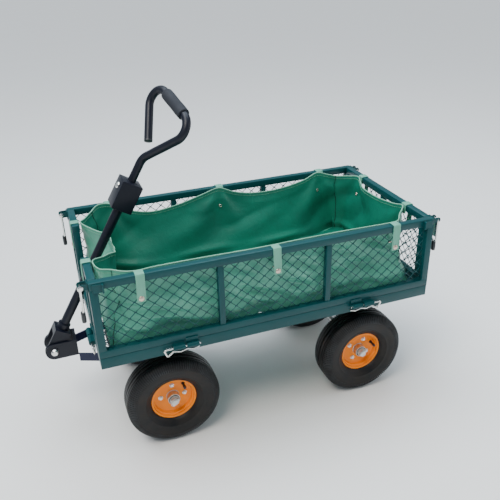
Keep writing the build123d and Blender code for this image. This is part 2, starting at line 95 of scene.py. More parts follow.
@dataclass(frozen=True)
class Finish:
    """A surface finish, as a procedural material."""

    name: str
    colour: str
    shade: str
    roughness: float
    metallic: float = 0.0
    coat: float = 0.0
    patch: float = 9.0          # cycles per metre of the broad colour drift
    drift: float = 0.35         # how much of the shade colour the drift brings in
    grain: float = 700.0        # cycles per metre of the fine relief
    relief: float = 0.1
    specular: float = 0.5

    def relief_height(self, tree: bpy.types.NodeTree, coords: Any) -> Any:
        """Give the socket whose value is the height of the fine relief.

        Args:
            tree: The material's node tree.
            coords: Object coordinates, in metres.

        Returns:
            A float output socket.
        """
        return add_node(tree, "ShaderNodeTexNoise", {"Scale": self.grain, "Detail": 2.0},
                        {"Vector": coords}).outputs[0]

    def build(self) -> bpy.types.Material:
        """Build the material.

        Returns:
            The finished material.
        """
        material = bpy.data.materials.new(self.name)
        material.use_nodes = True
        tree = material.node_tree
        tree.nodes.clear()
        coords = add_node(tree, "ShaderNodeTexCoord").outputs["Object"]
        broad = add_node(tree, "ShaderNodeTexNoise", {"Scale": self.patch, "Detail": 4.0,
                                                      "Roughness": 0.6}, {"Vector": coords})
        spread = add_node(tree, "ShaderNodeMapRange",
                          {"From Min": 0.35, "From Max": 0.75, "To Min": 0.0, "To Max": self.drift},
                          {"Value": broad.outputs[0]})
        colour = add_node(tree, "ShaderNodeMixRGB", {"Color1": tone(self.colour),
                                                     "Color2": tone(self.shade)},
                          {"Fac": spread.outputs[0]})
        gloss = add_node(tree, "ShaderNodeMapRange",
                         {"From Min": 0.3, "From Max": 0.7, "To Min": self.roughness * 0.85,
                          "To Max": min(1.0, self.roughness * 1.2)}, {"Value": broad.outputs[0]})
        height = self.relief_height(tree, coords)
        bump = add_node(tree, "ShaderNodeBump", {"Strength": self.relief, "Distance": 0.0006},
                        {"Height": height})
        skin = add_node(tree, "ShaderNodeBsdfPrincipled",
                        {"Metallic": self.metallic, "Coat Weight": self.coat,
                         "Coat Roughness": 0.12, "Specular IOR Level": self.specular},
                        {"Base Color": colour.outputs[0], "Roughness": gloss.outputs[0],
                         "Normal": bump.outputs[0]})
        add_node(tree, "ShaderNodeOutputMaterial", {}, {"Surface": skin.outputs[0]})
        return material


@dataclass(frozen=True)
class WovenFinish(Finish):
    """Cloth whose threads follow the piece's own UV map, laid out in metres."""

    # Real threads are about 1 mm apart; they are drawn 3 mm apart so that they show.
    pitch: float = 0.003
    cross: bool = True

    def relief_height(self, tree: bpy.types.NodeTree, coords: Any) -> Any:
        """Give the height of the threads, warp times weft, with soft creases.

        Args:
            tree: The material's node tree.
            coords: Object coordinates, in metres.

        Returns:
            A float output socket.
        """
        flat = add_node(tree, "ShaderNodeUVMap", {"uv_map": "cloth"}).outputs[0]
        scale = 2 * math.pi / (20 * self.pitch)
        bands = [add_node(tree, "ShaderNodeTexWave",
                          {"bands_direction": axis, "Scale": scale, "Distortion": 0.4},
                          {"Vector": flat}).outputs["Fac"]
                 for axis in (("X", "Y") if self.cross else ("X",))]
        height = bands[0]
        if self.cross:
            height = add_node(tree, "ShaderNodeMath", {"operation": "MULTIPLY"},
                              {0: bands[0], 1: bands[1]}).outputs[0]
        crease = add_node(tree, "ShaderNodeTexNoise", {"Scale": 38.0, "Detail": 5.0,
                                                       "Distortion": 1.2}, {"Vector": coords})
        return add_node(tree, "ShaderNodeMath", {"operation": "MULTIPLY_ADD", 1: 6.0},
                        {0: crease.outputs[0], 2: height}).outputs[0]


class Skin(Enum):
    """Every finish on the cart."""

    # Powder-coated steel: an even satin paint with a faint orange-peel surface.
    GREEN = Finish("green_powder_coat_on_steel", "024346", "023437", 0.36, coat=0.05, relief=0.06,
                   specular=0.25)
    # The same coating in near-black blue, glossier on the drawn tube of the pole.
    BLACK = Finish("black_powder_coat_on_steel", "080D1C", "060914", 0.42, coat=0.05, relief=0.08,
                   specular=0.3)
    # The drawbar arms carry a navy coat of the same powder.
    NAVY = Finish("navy_powder_coat_on_steel", "07133A", "050D26", 0.4, coat=0.05, relief=0.08,
                  specular=0.3)
    # Glossy orange enamel on pressed steel, with dust in it.
    ORANGE = Finish("orange_enamel_on_pressed_steel", "FF8C06", "FA7A00", 0.35, coat=0.1,
                    relief=0.04,
                    specular=0.25)
    # Bright zinc plate: pale metal with a soft mottled shine.
    ZINC = Finish("bright_zinc_plated_steel", "E6E6E2", "C4C5C3", 0.25, metallic=1.0, patch=60.0,
                  relief=0.05)
    # Turned steel of the hubs: a little duller than the plated parts.
    STEEL = Finish("turned_bearing_steel", "D0CFCB", "A3A29D", 0.42, metallic=1.0, patch=40.0)
    # Antique copper-toned press studs.
    COPPER = Finish("copper_plated_press_stud", "D6C2B4", "BFA491", 0.3, metallic=1.0, patch=90.0)
    # Moulded tyre rubber: dull grey-black, with paler brownish patches that are part dirt and part
    # painted sheen.
    RUBBER = Finish("tyre_rubber_dirt_and_painted_sheen", "0C0D10", "25201B", 0.45, patch=26.0, drift=0.9,
                    grain=420.0, relief=0.3, specular=0.3)
    # The same rubber on the raised tread bars, paler than the body: part scuffed by the ground,
    # part painted highlight on the ridges.
    TREAD = Finish("tread_rubber_scuff_and_painted_highlight", "2B2D30", "1D1A17", 0.55, patch=30.0, drift=0.9,
                   grain=420.0, relief=0.3, specular=0.4)
    # Closed-cell foam: matt with small pores, about 1.5 mm apart.
    FOAM = Finish("closed_cell_foam_grip", "161B25", "10141C", 0.75, grain=650.0, relief=0.7)
    # Dip-moulded PVC on the latch pulls.
    VINYL = Finish("dip_moulded_vinyl", "24272B", "1A1C20", 0.42, relief=0.05)
    # PVC-coated polyester: dark wet-looking inside, chalky mint outside.
    INSIDE = WovenFinish("coated_polyester_inner_face", "0C7A62", "075A4A", 0.36, patch=7.0,
                         drift=0.8, relief=0.32)
    OUTSIDE = WovenFinish("coated_polyester_outer_face", "5DAF95", "397F6B", 0.29, patch=7.0,
                          drift=0.8, relief=0.34)
    # Taped seam of the same cloth, dark where dirt and shade collect in it.
    SEAM = Finish("taped_cloth_seam", "0A4034", "072E26", 0.6, relief=0.1)
    # Polypropylene webbing: ribs run along its length, about 2 mm apart.
    WEBBING = WovenFinish("polypropylene_webbing", "66A891", "52927B", 0.6, pitch=0.0026,
                          cross=False, relief=0.5)
    THREAD = Finish("bonded_polyester_thread", "7FB89D", "6CA78B", 0.6, relief=0.0)


class Paintbox:
    """Materials that have been built, one for each finish."""

    def __init__(self) -> None:
        """Start with no material built."""
        self.ready: dict[Skin, bpy.types.Material] = {}

    def get(self, skin: Skin) -> bpy.types.Material:
        """Give the material of a finish, built on its first use."""
        if skin not in self.ready:
            self.ready[skin] = skin.value.build()
        return self.ready[skin]


PAINT = Paintbox()


# ---- mesh building ------------------------------------------------------------------------------
def fillet(points: Sequence[Point], radius: float, steps: int = 6) -> list[Vector]:
    """Round the corners of an open run of straight wire or tube.

    Args:
        points: Corner points.
        radius: Bend radius.
        steps: Segments in each bend.

    Returns:
        Points along the rounded run.
    """
    p = [Vector(q) for q in points]
    out = [p[0]]
    for a, b, c in zip(p, p[1:], p[2:]):
        u, w = (a - b).normalized(), (c - b).normalized()
        angle = u.angle(w)
        if angle > math.radians(178):
            out.append(b)
            continue
        reach = min(radius / math.tan(angle / 2), (a - b).length * 0.49, (c - b).length * 0.49)
        r = reach * math.tan(angle / 2)
        centre = b + (u + w).normalized() * (r / math.sin(angle / 2))
        s, e = b + u * reach - centre, b + w * reach - centre
        turn = s.angle(e)
        for k in range(steps + 1):
            t = k / steps
            out.append(centre + (s * math.sin((1 - t) * turn) + e * math.sin(t * turn))
                       / math.sin(turn))
    out.append(p[-1])
    return out


class Shape:
    """A mesh in the making, in millimetres."""

    def __init__(self) -> None:
        """Start with an empty mesh."""
        self.bm = bmesh.new()

    def bar(self, x: Point, y: Point, z: Point, round_over: float = 1.6, steps: int = 2) -> None:
        """Add a box with rounded edges.

        Args:
            x: Lowest and highest X.
            y: Lowest and highest Y.
            z: Lowest and highest Z.
            round_over: Edge radius.
            steps: Segments in the rounding.
        """
        lo = Vector((min(x), min(y), min(z)))
        hi = Vector((max(x), max(y), max(z)))
        size = hi - lo
        made = bmesh.ops.create_cube(self.bm, size=1.0, matrix=Matrix.Translation((lo + hi) / 2)
                                     @ Matrix.Diagonal((*size, 1.0)))
        edges = {e for v in made["verts"] for e in v.link_edges}
        width = min(round_over, min(size) * 0.4)
        if width > 0:
            bmesh.ops.bevel(self.bm, geom=list(edges), offset=width, segments=steps,
                            affect="EDGES", profile=0.5)

    def rod(self, path: Sequence[Point], radius: float | Sequence[float], sides: int = 16) -> None:
        """Add a round rod or a tapering one along a run of points, closed at both ends.

        Args:
            path: Points of the centre line.
            radius: One radius, or one for each point.
            sides: Faces around.
        """
        pts = [Vector(q) for q in path]
        radii = [radius] * len(pts) if isinstance(radius, (int, float)) else list(radius)
        ahead = (pts[1] - pts[0]).normalized()
        side = ahead.orthogonal().normalized()
        rings = []
        for i, q in enumerate(pts):
            before = (q - pts[i - 1]).normalized() if i else ahead
            after = (pts[i + 1] - q).normalized() if i + 1 < len(pts) else before
            way = (before + after).normalized()
            side = (side - way * side.dot(way)).normalized()
            up = way.cross(side)
            rings.append([self.bm.verts.new(q + radii[i] * (
                side * math.cos(2 * math.pi * k / sides) + up * math.sin(2 * math.pi * k / sides)))
                for k in range(sides)])
        for a, b in zip(rings, rings[1:]):
            for k in range(sides):
                m = (k + 1) % sides
                self.bm.faces.new((a[k], a[m], b[m], b[k]))
        self.bm.faces.new(rings[0][::-1])
        self.bm.faces.new(rings[-1])

    def turned(self, outline: Sequence[Point], sides: int = 72) -> None:
        """Add a closed outline turned about the Y axis.

        Args:
            outline: (radius, y) corners; it starts and ends on the axis, or it is closed.
            sides: Faces around.
        """
        poles = [outline[0], outline[-1]] if outline[0][0] < 0.05 else []
        rings = [[self.bm.verts.new((r * math.cos(2 * math.pi * k / sides), y,
                                     r * math.sin(2 * math.pi * k / sides)))
                  for k in range(sides)] for r, y in (outline[1:-1] if poles else outline)]
        for a, b in zip(rings, rings[1:] + ([] if poles else rings[:1])):
            for k in range(sides):
                m = (k + 1) % sides
                self.bm.faces.new((a[k], a[m], b[m], b[k]))
        for ring, (_, y) in zip((rings[0], rings[-1]), poles):
            tip = self.bm.verts.new((0, y, 0))
            for k in range(sides):
                self.bm.faces.new((ring[k], ring[(k + 1) % sides], tip))

    def ribbon(self, path: Sequence[Point], across: Point, width: float, thick: float) -> None:
        """Add a flat strap along a path, with a UV map in metres.

        Args:
            path: Points of the centre line.
            across: Direction of the strap's width.
            width: Width.
            thick: Thickness.
        """
        cut = [(-0.5, -0.28), (-0.46, -0.5), (0.46, -0.5), (0.5, -0.28), (0.5, 0.28),
               (0.46, 0.5), (-0.46, 0.5), (-0.5, 0.28)]
        uv = self.bm.loops.layers.uv.get("cloth") or self.bm.loops.layers.uv.new("cloth")
        pts, side = [Vector(q) for q in path], Vector(across).normalized()
        run, rings = 0.0, []
        for i, q in enumerate(pts):
            way = (pts[min(i + 1, len(pts) - 1)] - pts[max(i - 1, 0)]).normalized()
            out = side.cross(way).normalized()
            run += (q - pts[i - 1]).length if i else 0.0
            rings.append((run, [self.bm.verts.new(q + side * a * width + out * b * thick)
                                for a, b in cut]))
        for (ra, a), (rb, b) in zip(rings, rings[1:]):
            for k in range(8):
                m = (k + 1) % 8
                face = self.bm.faces.new((a[k], a[m], b[m], b[k]))
                for loop, s, r in zip(face.loops, (cut[k][0], cut[m][0], cut[m][0], cut[k][0]),
                                      (ra, ra, rb, rb)):
                    loop[uv].uv = (s * width * MM, r * MM)
        self.bm.faces.new(rings[0][1][::-1])
        self.bm.faces.new(rings[-1][1])

    def place(self, matrix: Matrix) -> "Shape":
        """Move the whole mesh by a matrix and give the shape back."""
        self.bm.transform(matrix)
        return self

    def piece(self, name: str, skins: Skin | Sequence[Skin], body: str, slot: str,
              instead_of: Iterable[str] = (), sharp: float = 35.0,
              outward: bool = True) -> bpy.types.Object:
        """Turn the shape into a piece that rides a body.

        Args:
            name: The piece's name.
            skins: Its finish, or finishes by face index.
            body: The frame body that it moves with.
            slot: Name of a material slot; not used.
            instead_of: CAD nodes that it stands for.
            sharp: Angle above which an edge stays sharp, in degrees.
            outward: Whether to turn the faces of a closed mesh outwards.

        Returns:
            The new object.
        """
        if outward:
            bmesh.ops.recalc_face_normals(self.bm, faces=self.bm.faces)
        mesh = bpy.data.meshes.new(name)
        self.bm.to_mesh(mesh)
        self.bm.free()
        mesh.transform(Matrix.Scale(MM, 4))
        return settle(mesh, name, skins, body, instead_of, sharp)


def settle(mesh: bpy.types.Mesh, name: str, skins: Skin | Sequence[Skin], body: str,
           instead_of: Iterable[str] = (), sharp: float = 35.0) -> bpy.types.Object:
    """Link a finished mesh as a piece that rides a body.

    Args:
        mesh: Mesh in metres, in the frame.
        name: The piece's name.
        skins: Its finish, or finishes by face index.
        body: The frame body that it moves with.
        instead_of: CAD nodes that it stands for.
        sharp: Angle above which an edge stays sharp, in degrees.

    Returns:
        The new object.
    """
    mesh.shade_smooth()
    mesh.set_sharp_from_angle(angle=math.radians(sharp))
    mesh.materials.clear()
    for skin in [skins] if isinstance(skins, Skin) else skins:
        mesh.materials.append(PAINT.get(skin))
    obj = bpy.data.objects.new(name, mesh)
    bpy.context.scene.collection.objects.link(obj)
    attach(obj, body)
    if instead_of:
        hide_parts(*instead_of)
    LOG.info("%s rides %s, %d faces", name, body, len(mesh.polygons))
    return obj


def dress(skin: Skin, *nodes: str) -> None:
    """Give CAD nodes that stay in view a finish.

    Args:
        skin: The finish.
        nodes: Names of the nodes.
    """
    for node in nodes:
        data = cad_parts[node].data
        data.materials.clear()
        data.materials.append(PAINT.get(skin))
        LOG.info("%s keeps its shape in %s", node, skin.value.name)


# ---- geometry node trees ------------------------------------------------------------------------
class Repeat:
    """A geometry node tree that repeats a cell, with named inputs."""

    def __init__(self, name: str, inputs: dict[str, str]) -> None:
        """Start the tree.

        Args:
            name: The tree's name.
            inputs: Socket types by input name.
        """
        self.tree = bpy.data.node_groups.new(name, "GeometryNodeTree")
        face = self.tree.interface
        face.new_socket("Cell", in_out="INPUT", socket_type="NodeSocketGeometry")
        self.keys = {label: face.new_socket(label, in_out="INPUT", socket_type=kind).identifier
                     for label, kind in inputs.items()}
        face.new_socket("Result", in_out="OUTPUT", socket_type="NodeSocketGeometry")
        self.entry = add_node(self.tree, "NodeGroupInput")

    def close(self, instances: Any) -> None:
        """End the tree in real faces with the chosen material.

        Args:
            instances: Socket that gives the instances.
        """
        real = add_node(self.tree, "GeometryNodeRealizeInstances", {}, {0: instances})
        skin = add_node(self.tree, "GeometryNodeSetMaterial", {},
                        {"Geometry": real.outputs[0], "Material": self.entry.outputs["Material"]})
        add_node(self.tree, "NodeGroupOutput", {}, {0: skin.outputs[0]})

    def run(self, cell: Shape, **values: Any) -> bpy.types.Mesh:
        """Repeat a cell and give the result as a plain mesh.

        Args:
            cell: The cell, in millimetres.
            values: Values of the named inputs.

        Returns:
            A mesh in millimetres.
        """
        bmesh.ops.recalc_face_normals(cell.bm, faces=cell.bm.faces)
        mesh = bpy.data.meshes.new("cell")
        cell.bm.to_mesh(mesh)
        cell.bm.free()
        holder = bpy.data.objects.new("cell", mesh)
        bpy.context.scene.collection.objects.link(holder)
        modifier = holder.modifiers.new("repeat", "NODES")
        modifier.node_group = self.tree
        for label, value in values.items():
            modifier[self.keys[label]] = value
        graph = bpy.context.evaluated_depsgraph_get()
        made = bpy.data.meshes.new_from_object(holder.evaluated_get(graph))
        holder.modifiers.remove(modifier)
        bpy.data.objects.remove(holder)
        return made


def grid_repeat() -> Repeat:
    """Build the tree that lays a cell out in columns and rows, centred on the origin."""
    rep = Repeat("columns_and_rows", {"Columns": "NodeSocketInt", "Rows": "NodeSocketInt",
                                      "Width": "NodeSocketFloat", "Height": "NodeSocketFloat",
                                      "Material": "NodeSocketMaterial"})
    grid = add_node(rep.tree, "GeometryNodeMeshGrid", {}, {
        "Size X": rep.entry.outputs["Width"], "Size Y": rep.entry.outputs["Height"],
        "Vertices X": rep.entry.outputs["Columns"], "Vertices Y": rep.entry.outputs["Rows"]})
    put = add_node(rep.tree, "GeometryNodeInstanceOnPoints", {}, {
        "Points": grid.outputs[0], "Instance": rep.entry.outputs["Cell"]})
    rep.close(put.outputs[0])
    return rep


def ring_repeat() -> Repeat:
    """Build the tree that turns a cell about the Y axis in equal steps."""
    rep = Repeat("around_the_axle", {"Count": "NodeSocketInt", "Material": "NodeSocketMaterial"})
    line = add_node(rep.tree, "GeometryNodeMeshLine", {"Offset": (0.0, 0.0, 0.0)},
                    {"Count": rep.entry.outputs["Count"]})
    index = add_node(rep.tree, "GeometryNodeInputIndex")
    step = add_node(rep.tree, "ShaderNodeMath", {"operation": "DIVIDE", 0: 2 * math.pi},
                    {1: rep.entry.outputs["Count"]})
    angle = add_node(rep.tree, "ShaderNodeMath", {"operation": "MULTIPLY"},
                     {0: index.outputs[0], 1: step.outputs[0]})
    turn = add_node(rep.tree, "ShaderNodeCombineXYZ", {}, {"Y": angle.outputs[0]})
    put = add_node(rep.tree, "GeometryNodeInstanceOnPoints", {}, {
        "Points": line.outputs[0], "Instance": rep.entry.outputs["Cell"],
        "Rotation": turn.outputs[0]})
    rep.close(put.outputs[0])
    return rep


def stitch_repeat() -> Repeat:
    """Build the tree that lays stitches at an even pitch along the cell's edges."""
    rep = Repeat("stitches_along_seam", {"Pitch": "NodeSocketFloat", "Length": "NodeSocketFloat",
                                         "Thread": "NodeSocketFloat",
                                         "Material": "NodeSocketMaterial"})
    curve = add_node(rep.tree, "GeometryNodeMeshToCurve", {}, {0: rep.entry.outputs["Cell"]})
    even = add_node(rep.tree, "GeometryNodeResampleCurve", {"mode": "LENGTH"}, {
        "Curve": curve.outputs[0], "Length": rep.entry.outputs["Pitch"]})
    ahead = add_node(rep.tree, "GeometryNodeInputTangent")
    turn = add_node(rep.tree, "FunctionNodeAlignRotationToVector", {"axis": "X"},
                    {"Vector": ahead.outputs[0]})
    size = add_node(rep.tree, "ShaderNodeCombineXYZ", {}, {
        "X": rep.entry.outputs["Length"], "Y": rep.entry.outputs["Thread"],
        "Z": rep.entry.outputs["Thread"]})
    bead = add_node(rep.tree, "GeometryNodeMeshCube", {}, {"Size": size.outputs[0]})
    put = add_node(rep.tree, "GeometryNodeInstanceOnPoints", {}, {
        "Points": even.outputs[0], "Instance": bead.outputs[0], "Rotation": turn.outputs[0]})
    rep.close(put.outputs[0])
    return rep


# ---- walls --------------------------------------------------------------------------------------
@dataclass(frozen=True)
class Wall:
    """One side of the bed: u along it, v outward from its face, z up."""

    name: str
    body: str
    turn: float
    offset: tuple[float, float]

    def matrix(self) -> Matrix:
        """Give the matrix from the wall's space to the frame, in millimetres."""
        return (Matrix.Translation((*self.offset, 0.0))
                @ Matrix.Rotation(math.radians(self.turn), 4, "Z"))


LEFT = Wall("left", "left_panel", 180.0, (0.0, -HALF_W))
RIGHT = Wall("right", "right_panel", 0.0, (0.0, HALF_W))
REAR = Wall("rear", "rear_panel", -90.0, (HALF_L, 0.0))
FRONT = Wall("front", "chassis", 90.0, (-HALF_L, 0.0))


@dataclass
class DiamondMesh:
    """Expanded steel mesh: diamond strands with a thicker bond at each crossing."""

    pitch_x: float = 31.3
    pitch_z: float = 27.0
    strand: float = 2.1
    gauge: float = 1.5
    grid: Repeat = field(default_factory=grid_repeat)

    def fill(self, target: Shape, x: Point, y: Point, at: Matrix, scale: float = 1.0) -> None:
        """Fill a rectangle of a plane with mesh.

        Args:
            target: Shape that takes the strands.
            x: Lowest and highest first coordinate in the plane.
            y: Lowest and highest second coordinate in the plane.
            at: Matrix from the plane to the target's space.
            scale: How much coarser than usual the mesh is.
        """
        cols = max(1, round((x[1] - x[0]) / (self.pitch_x * scale)))
        rows = max(1, round((y[1] - y[0]) / (self.pitch_z * scale)))
        px, pz = (x[1] - x[0]) / cols, (y[1] - y[0]) / rows
        cell, half = Shape(), self.strand * scale / 2
        ends = [Vector((px / 2, 0, 0)), Vector((0, pz / 2, 0)), Vector((-px / 2, 0, 0)),
                Vector((0, -pz / 2, 0))]
        for i, b in enumerate(ends):
            a = ends[i - 1]
            way = (b - a).normalized()
            side = Vector((-way.y, way.x, 0)) * half * 0.8
            tip = side * 1.15
            up = Vector((0, 0, self.gauge / 2))
            mid = (a + b) / 2
            rings = [[cell.bm.verts.new(p) for p in (q - s - up * k, q + s - up, q + s + up * k,
                                                     q - s + up)]
                     for q, s, k in ((a, tip, 1.0), (mid, side, 0.4), (b, tip, 1.0))]
            for m, n in zip(rings, rings[1:]):
                for k in range(4):
                    cell.bm.faces.new((m[k], m[(k + 1) % 4], n[(k + 1) % 4], n[k]))
            cell.bm.faces.new(rings[0][::-1])
            cell.bm.faces.new(rings[-1])
        for spot in (ends[1], ends[2]):
            cell.bar((spot.x - 3.2, spot.x + 3.2), (spot.y - 1.5, spot.y + 1.5),
                     (-self.gauge * 0.62, self.gauge * 0.62), 0.0)
        made = self.grid.run(cell, Columns=cols, Rows=rows, Width=px * (cols - 1),
                             Height=pz * (rows - 1), Material=PAINT.get(Skin.GREEN))
        made.transform(at @ Matrix.Translation(((x[0] + x[1]) / 2, (y[0] + y[1]) / 2, 0)))
        target.bm.from_mesh(made)

    @staticmethod
    def upright(depth: float) -> Matrix:
        """Give the matrix from the mesh plane to a wall's space, at a depth inside the face."""
        return Matrix(((1, 0, 0, 0), (0, 0, -1, -depth), (0, 1, 0, 0), (0, 0, 0, 1)))


@dataclass
class Strap:
    """Webbing strap over a top rail, closed with a press stud."""

    width: float = STRAP_W
    thick: float = 2.0
    drop: float = 73.0
    inner: float = 26.0
    stud_z: float = 64.0

    def hang(self, shape: Shape, studs: Shape, u: float, lean: float) -> None:
        """Add one strap and its stud in a wall's space.

        Args:
            shape: Shape that takes the webbing.
            studs: Shape that takes the stud.
            u: Place along the wall.
            lean: How far the free end drifts along the wall.
        """
        v0, v1, top = 1.7, -TUBE - 1.6, TOP + 1.6
        route = [(u + lean, v0 + 0.9, TOP - self.drop), (u + lean * 0.8, v0 + 0.2, TOP - 60),
                 (u + lean * 0.4, v0 + 0.9, TOP - 38), (u, v0, TOP - 12), (u, v0, top),
                 (u, v1, top), (u, v1, TOP - self.inner)]
        shape.ribbon(fillet(route, 3.2, 5), (1, 0, 0), self.width, self.thick)
        low = [(u + lean, v0 + 0.9, TOP - self.drop + 0.2), (u + lean * 0.9, v0 + 0.7, TOP - 63)]
        shape.ribbon(low, (1, 0, 0), self.width * 0.98, self.thick * 1.7)
        y0 = v0 + self.thick * 0.9
        dome = [(0.01, y0 - 1), (7.2, y0 - 1), (7.2, y0 + 0.2), (6.6, y0 + 1.0), (5.2, y0 + 2.1),
                (3.0, y0 + 2.9), (0.01, y0 + 3.2)]
        one = Shape()
        one.turned(dome, 28)
        one.place(Matrix.Translation((u + lean * 0.9, 0, TOP - self.stud_z)))
        merge(studs, one)

    def sew(self, seam: Shape, u: float, lean: float) -> None:
        """Add the two lines of thread down a strap's outer leg.

        Args:
            seam: Shape that takes the lines as edges.
            u: Place along the wall.
            lean: How far the free end drifts along the wall.
        """
        for side in (-1, 1):
            edge = u + side * (self.width / 2 - 2.6)
            run = [seam.bm.verts.new((edge + lean * k, 1.7 + self.thick * 0.55 + out, TOP - drop))
                   for k, out, drop in ((0.0, 0.0, 8), (0.0, 0.0, 14), (0.4, 0.9, 38),
                                        (0.8, 0.2, 60), (0.95, 1.2, self.drop - 3))]
            for a, b in zip(run, run[1:]):
                seam.bm.edges.new((a, b))


def merge(target: Shape, extra: Shape) -> None:
    """Move one shape's faces into another."""
    mesh = bpy.data.meshes.new("part")
    extra.bm.to_mesh(mesh)
    extra.bm.free()
    target.bm.from_mesh(mesh)
    bpy.data.meshes.remove(mesh)


@dataclass
class Panels:
    """Four mesh panels, the base frame under them and their fittings."""

    mesh: DiamondMesh
    strap: Strap
    posts: tuple[float, ...] = (-150.0, 150.0)
    notch: float = 100.0
    side_straps: tuple[float, ...] = (-350.0, 0.0, 350.0)
    end_straps: tuple[float, ...] = (-125.7, 125.7)

    def frame_bars(self, half: float, posts: Iterable[float]) -> Shape:
        """Make the tube frame of a plain panel in the wall's space.

        Args:
            half: Half its length.
            posts: Places of the middle posts.

        Returns:
            The shape.
        """
        shape, v = Shape(), (-TUBE, 0)
        shape.bar((-half, half), v, (RAIL0, RAIL0 + TUBE))
        shape.bar((-half, half), v, (TOP - TUBE, TOP))
        inner = (RAIL0 + TUBE - 1.2, TOP - TUBE + 1.2)
        for s in (-1, 1):
            shape.bar((s * half, s * (half - TUBE)), v, inner)
        m = (TUBE - POST) / 2
        for p in posts:
            shape.bar((p - POST / 2, p + POST / 2), (-TUBE + m, -m), inner)
        self.welds(shape, [(s * (half - TUBE), z, s, t) for s in (-1, 1)
                           for z, t in ((RAIL0 + TUBE, 1), (TOP - TUBE, -1))])
        return shape

    @staticmethod
    def welds(shape: Shape, corners: Iterable[tuple[float, float, int, int]]) -> None:
        """Add a weld bead in inner corners of a frame.

        Args:
            shape: Shape that takes the beads.
            corners: Place along the wall, height, and the corner's two directions.
        """
        for u, z, s, t in corners:
            path = [(u - s * 0.6, -TUBE + 1.5, z + t * 0.6), (u - s * 0.6, -1.5, z + t * 0.6)]
            steps = [Vector(path[0]).lerp(Vector(path[1]), k / 8) for k in range(9)]
            shape.rod(steps, [1.7 + 0.35 * (k % 2) for k in range(9)], 8)

    def plain(self, wall: Wall, half: float, posts: tuple[float, ...]) -> None:
        """Make one fold-down panel: frame and mesh.

        Args:
            wall: The wall that it stands on.
            half: Half its length.
            posts: Places of the middle posts.
        """
        at = wall.matrix()
        self.frame_bars(half, posts).place(at).piece(
            f"{wall.name}_frame", Skin.GREEN, wall.body, "green_paint",
            [f"{wall.name}_panel_frame"])
        edges = [-half + TUBE] + [e for p in posts for e in (p - POST / 2, p + POST / 2)]
        edges.append(half - TUBE)
        infill = Shape()
        for a, b in zip(edges[::2], edges[1::2]):
            self.mesh.fill(infill, (a, b), (RAIL0 + TUBE, TOP - TUBE),
                           DiamondMesh.upright(TUBE / 2))
        infill.place(at).piece(f"{wall.name}_mesh", Skin.GREEN, wall.body, "green_paint",
                               [f"{wall.name}_panel_mesh"], outward=False)

    def front(self) -> None:
        """Make the front panel with its open gap for the pole."""
        shape, v, low = Shape(), (-TUBE, 0), RAIL0 + TUBE
        shape.bar((-END_HALF, END_HALF), v, (RAIL0, low))
        infill = Shape()
        for s in (-1, 1):
            shape.bar((s * END_HALF, s * (END_HALF - TUBE)), v, (low - 1.2, TOP - TUBE + 1.2))
            shape.bar((s * self.notch, s * (self.notch + TUBE)), v, (low - 1.2, TOP - TUBE + 1.2))
            shape.bar((s * self.notch, s * END_HALF), v, (TOP - TUBE, TOP), 2.2, 3)
            self.welds(shape, [(s * (self.notch + TUBE), low, -s, 1),
                               (s * (END_HALF - TUBE), low, s, 1)])
            side = sorted((s * (self.notch + TUBE), s * (END_HALF - TUBE)))
            self.mesh.fill(infill, side, (low, TOP - TUBE), DiamondMesh.upright(TUBE / 2))
        at = FRONT.matrix()
        shape.place(at).piece("front_frame", Skin.GREEN, "chassis", "green_paint",
                              ["front_panel_frame"])
        infill.place(at).piece("front_mesh", Skin.GREEN, "chassis", "green_paint",
                               ["front_panel_mesh"], outward=False)

    def straps(self) -> None:
        """Hang the straps on all four walls and sew their edges."""
        stitches = stitch_repeat()
        for wall, spots in ((LEFT, self.side_straps), (RIGHT, self.side_straps),
                            (REAR, self.end_straps), (FRONT, self.end_straps)):
            webbing, studs = Shape(), Shape()
            seam, at = Shape(), wall.matrix()
            for i, u in enumerate(spots):
                lean = (1.5, -2.0, 2.5)[i]
                self.strap.hang(webbing, studs, u, lean)
                self.strap.sew(seam, u, lean)
            sewn = stitches.run(seam, Pitch=5.0, Length=3.2, Thread=0.7,
                                Material=PAINT.get(Skin.THREAD))
            sewn.transform(Matrix.Scale(MM, 4) @ at)
            settle(sewn, f"{wall.name}_strap_stitches", Skin.THREAD, wall.body)
            webbing.place(at).piece(f"{wall.name}_webbing", Skin.WEBBING, wall.body,
                                    "liner_fabric", [f"{wall.name}_straps"])
            studs.place(at).piece(f"{wall.name}_studs", Skin.COPPER, wall.body, "latch_wire")

    def base(self) -> None:
        """Make the base frame and the bed mesh."""
        x, y, shape = HALF_L - 0.5, HALF_W - 0.5, Shape()
        for s in (-1, 1):
            shape.bar((-x, x), (s * y, s * (y - TUBE)), (BASE0, BASE1))
            shape.bar((s * x, s * (x - TUBE)), (-y + TUBE - 1, y - TUBE + 1), (BASE0, BASE1))
        for k in (-235.0, 0.0, 235.0):
            shape.bar((k - TUBE / 2, k + TUBE / 2), (-y + TUBE - 1, y - TUBE + 1),
                      (BASE0 + 2, BASE1 - 4.2))
        shape.piece("base_rails", Skin.GREEN, "chassis", "green_paint", ["base_frame"])
        bed = Shape()
        self.mesh.fill(bed, (-x + TUBE, x - TUBE), (-y + TUBE, y - TUBE),
                       Matrix.Translation((0, 0, BASE1 - 2.6)), 1.4)
        bed.piece("bed_grid", Skin.GREEN, "chassis", "green_paint", ["bed_mesh"], outward=False)

    def build(self) -> None:
        """Make every panel."""
        self.base()
        self.front()
        self.plain(LEFT, HALF_L, self.posts)
        self.plain(RIGHT, HALF_L, self.posts)
        self.plain(REAR, END_HALF, (0.0,))
        self.straps()
        dress(Skin.GREEN, "base_hinge_barrels", "left_panel_fittings", "right_panel_fittings",
              "rear_panel_fittings", "front_latch_brackets", "cross_members", "turntable_plate")
        dress(Skin.ZINC, "hinge_clips", "kingpin_bolt")


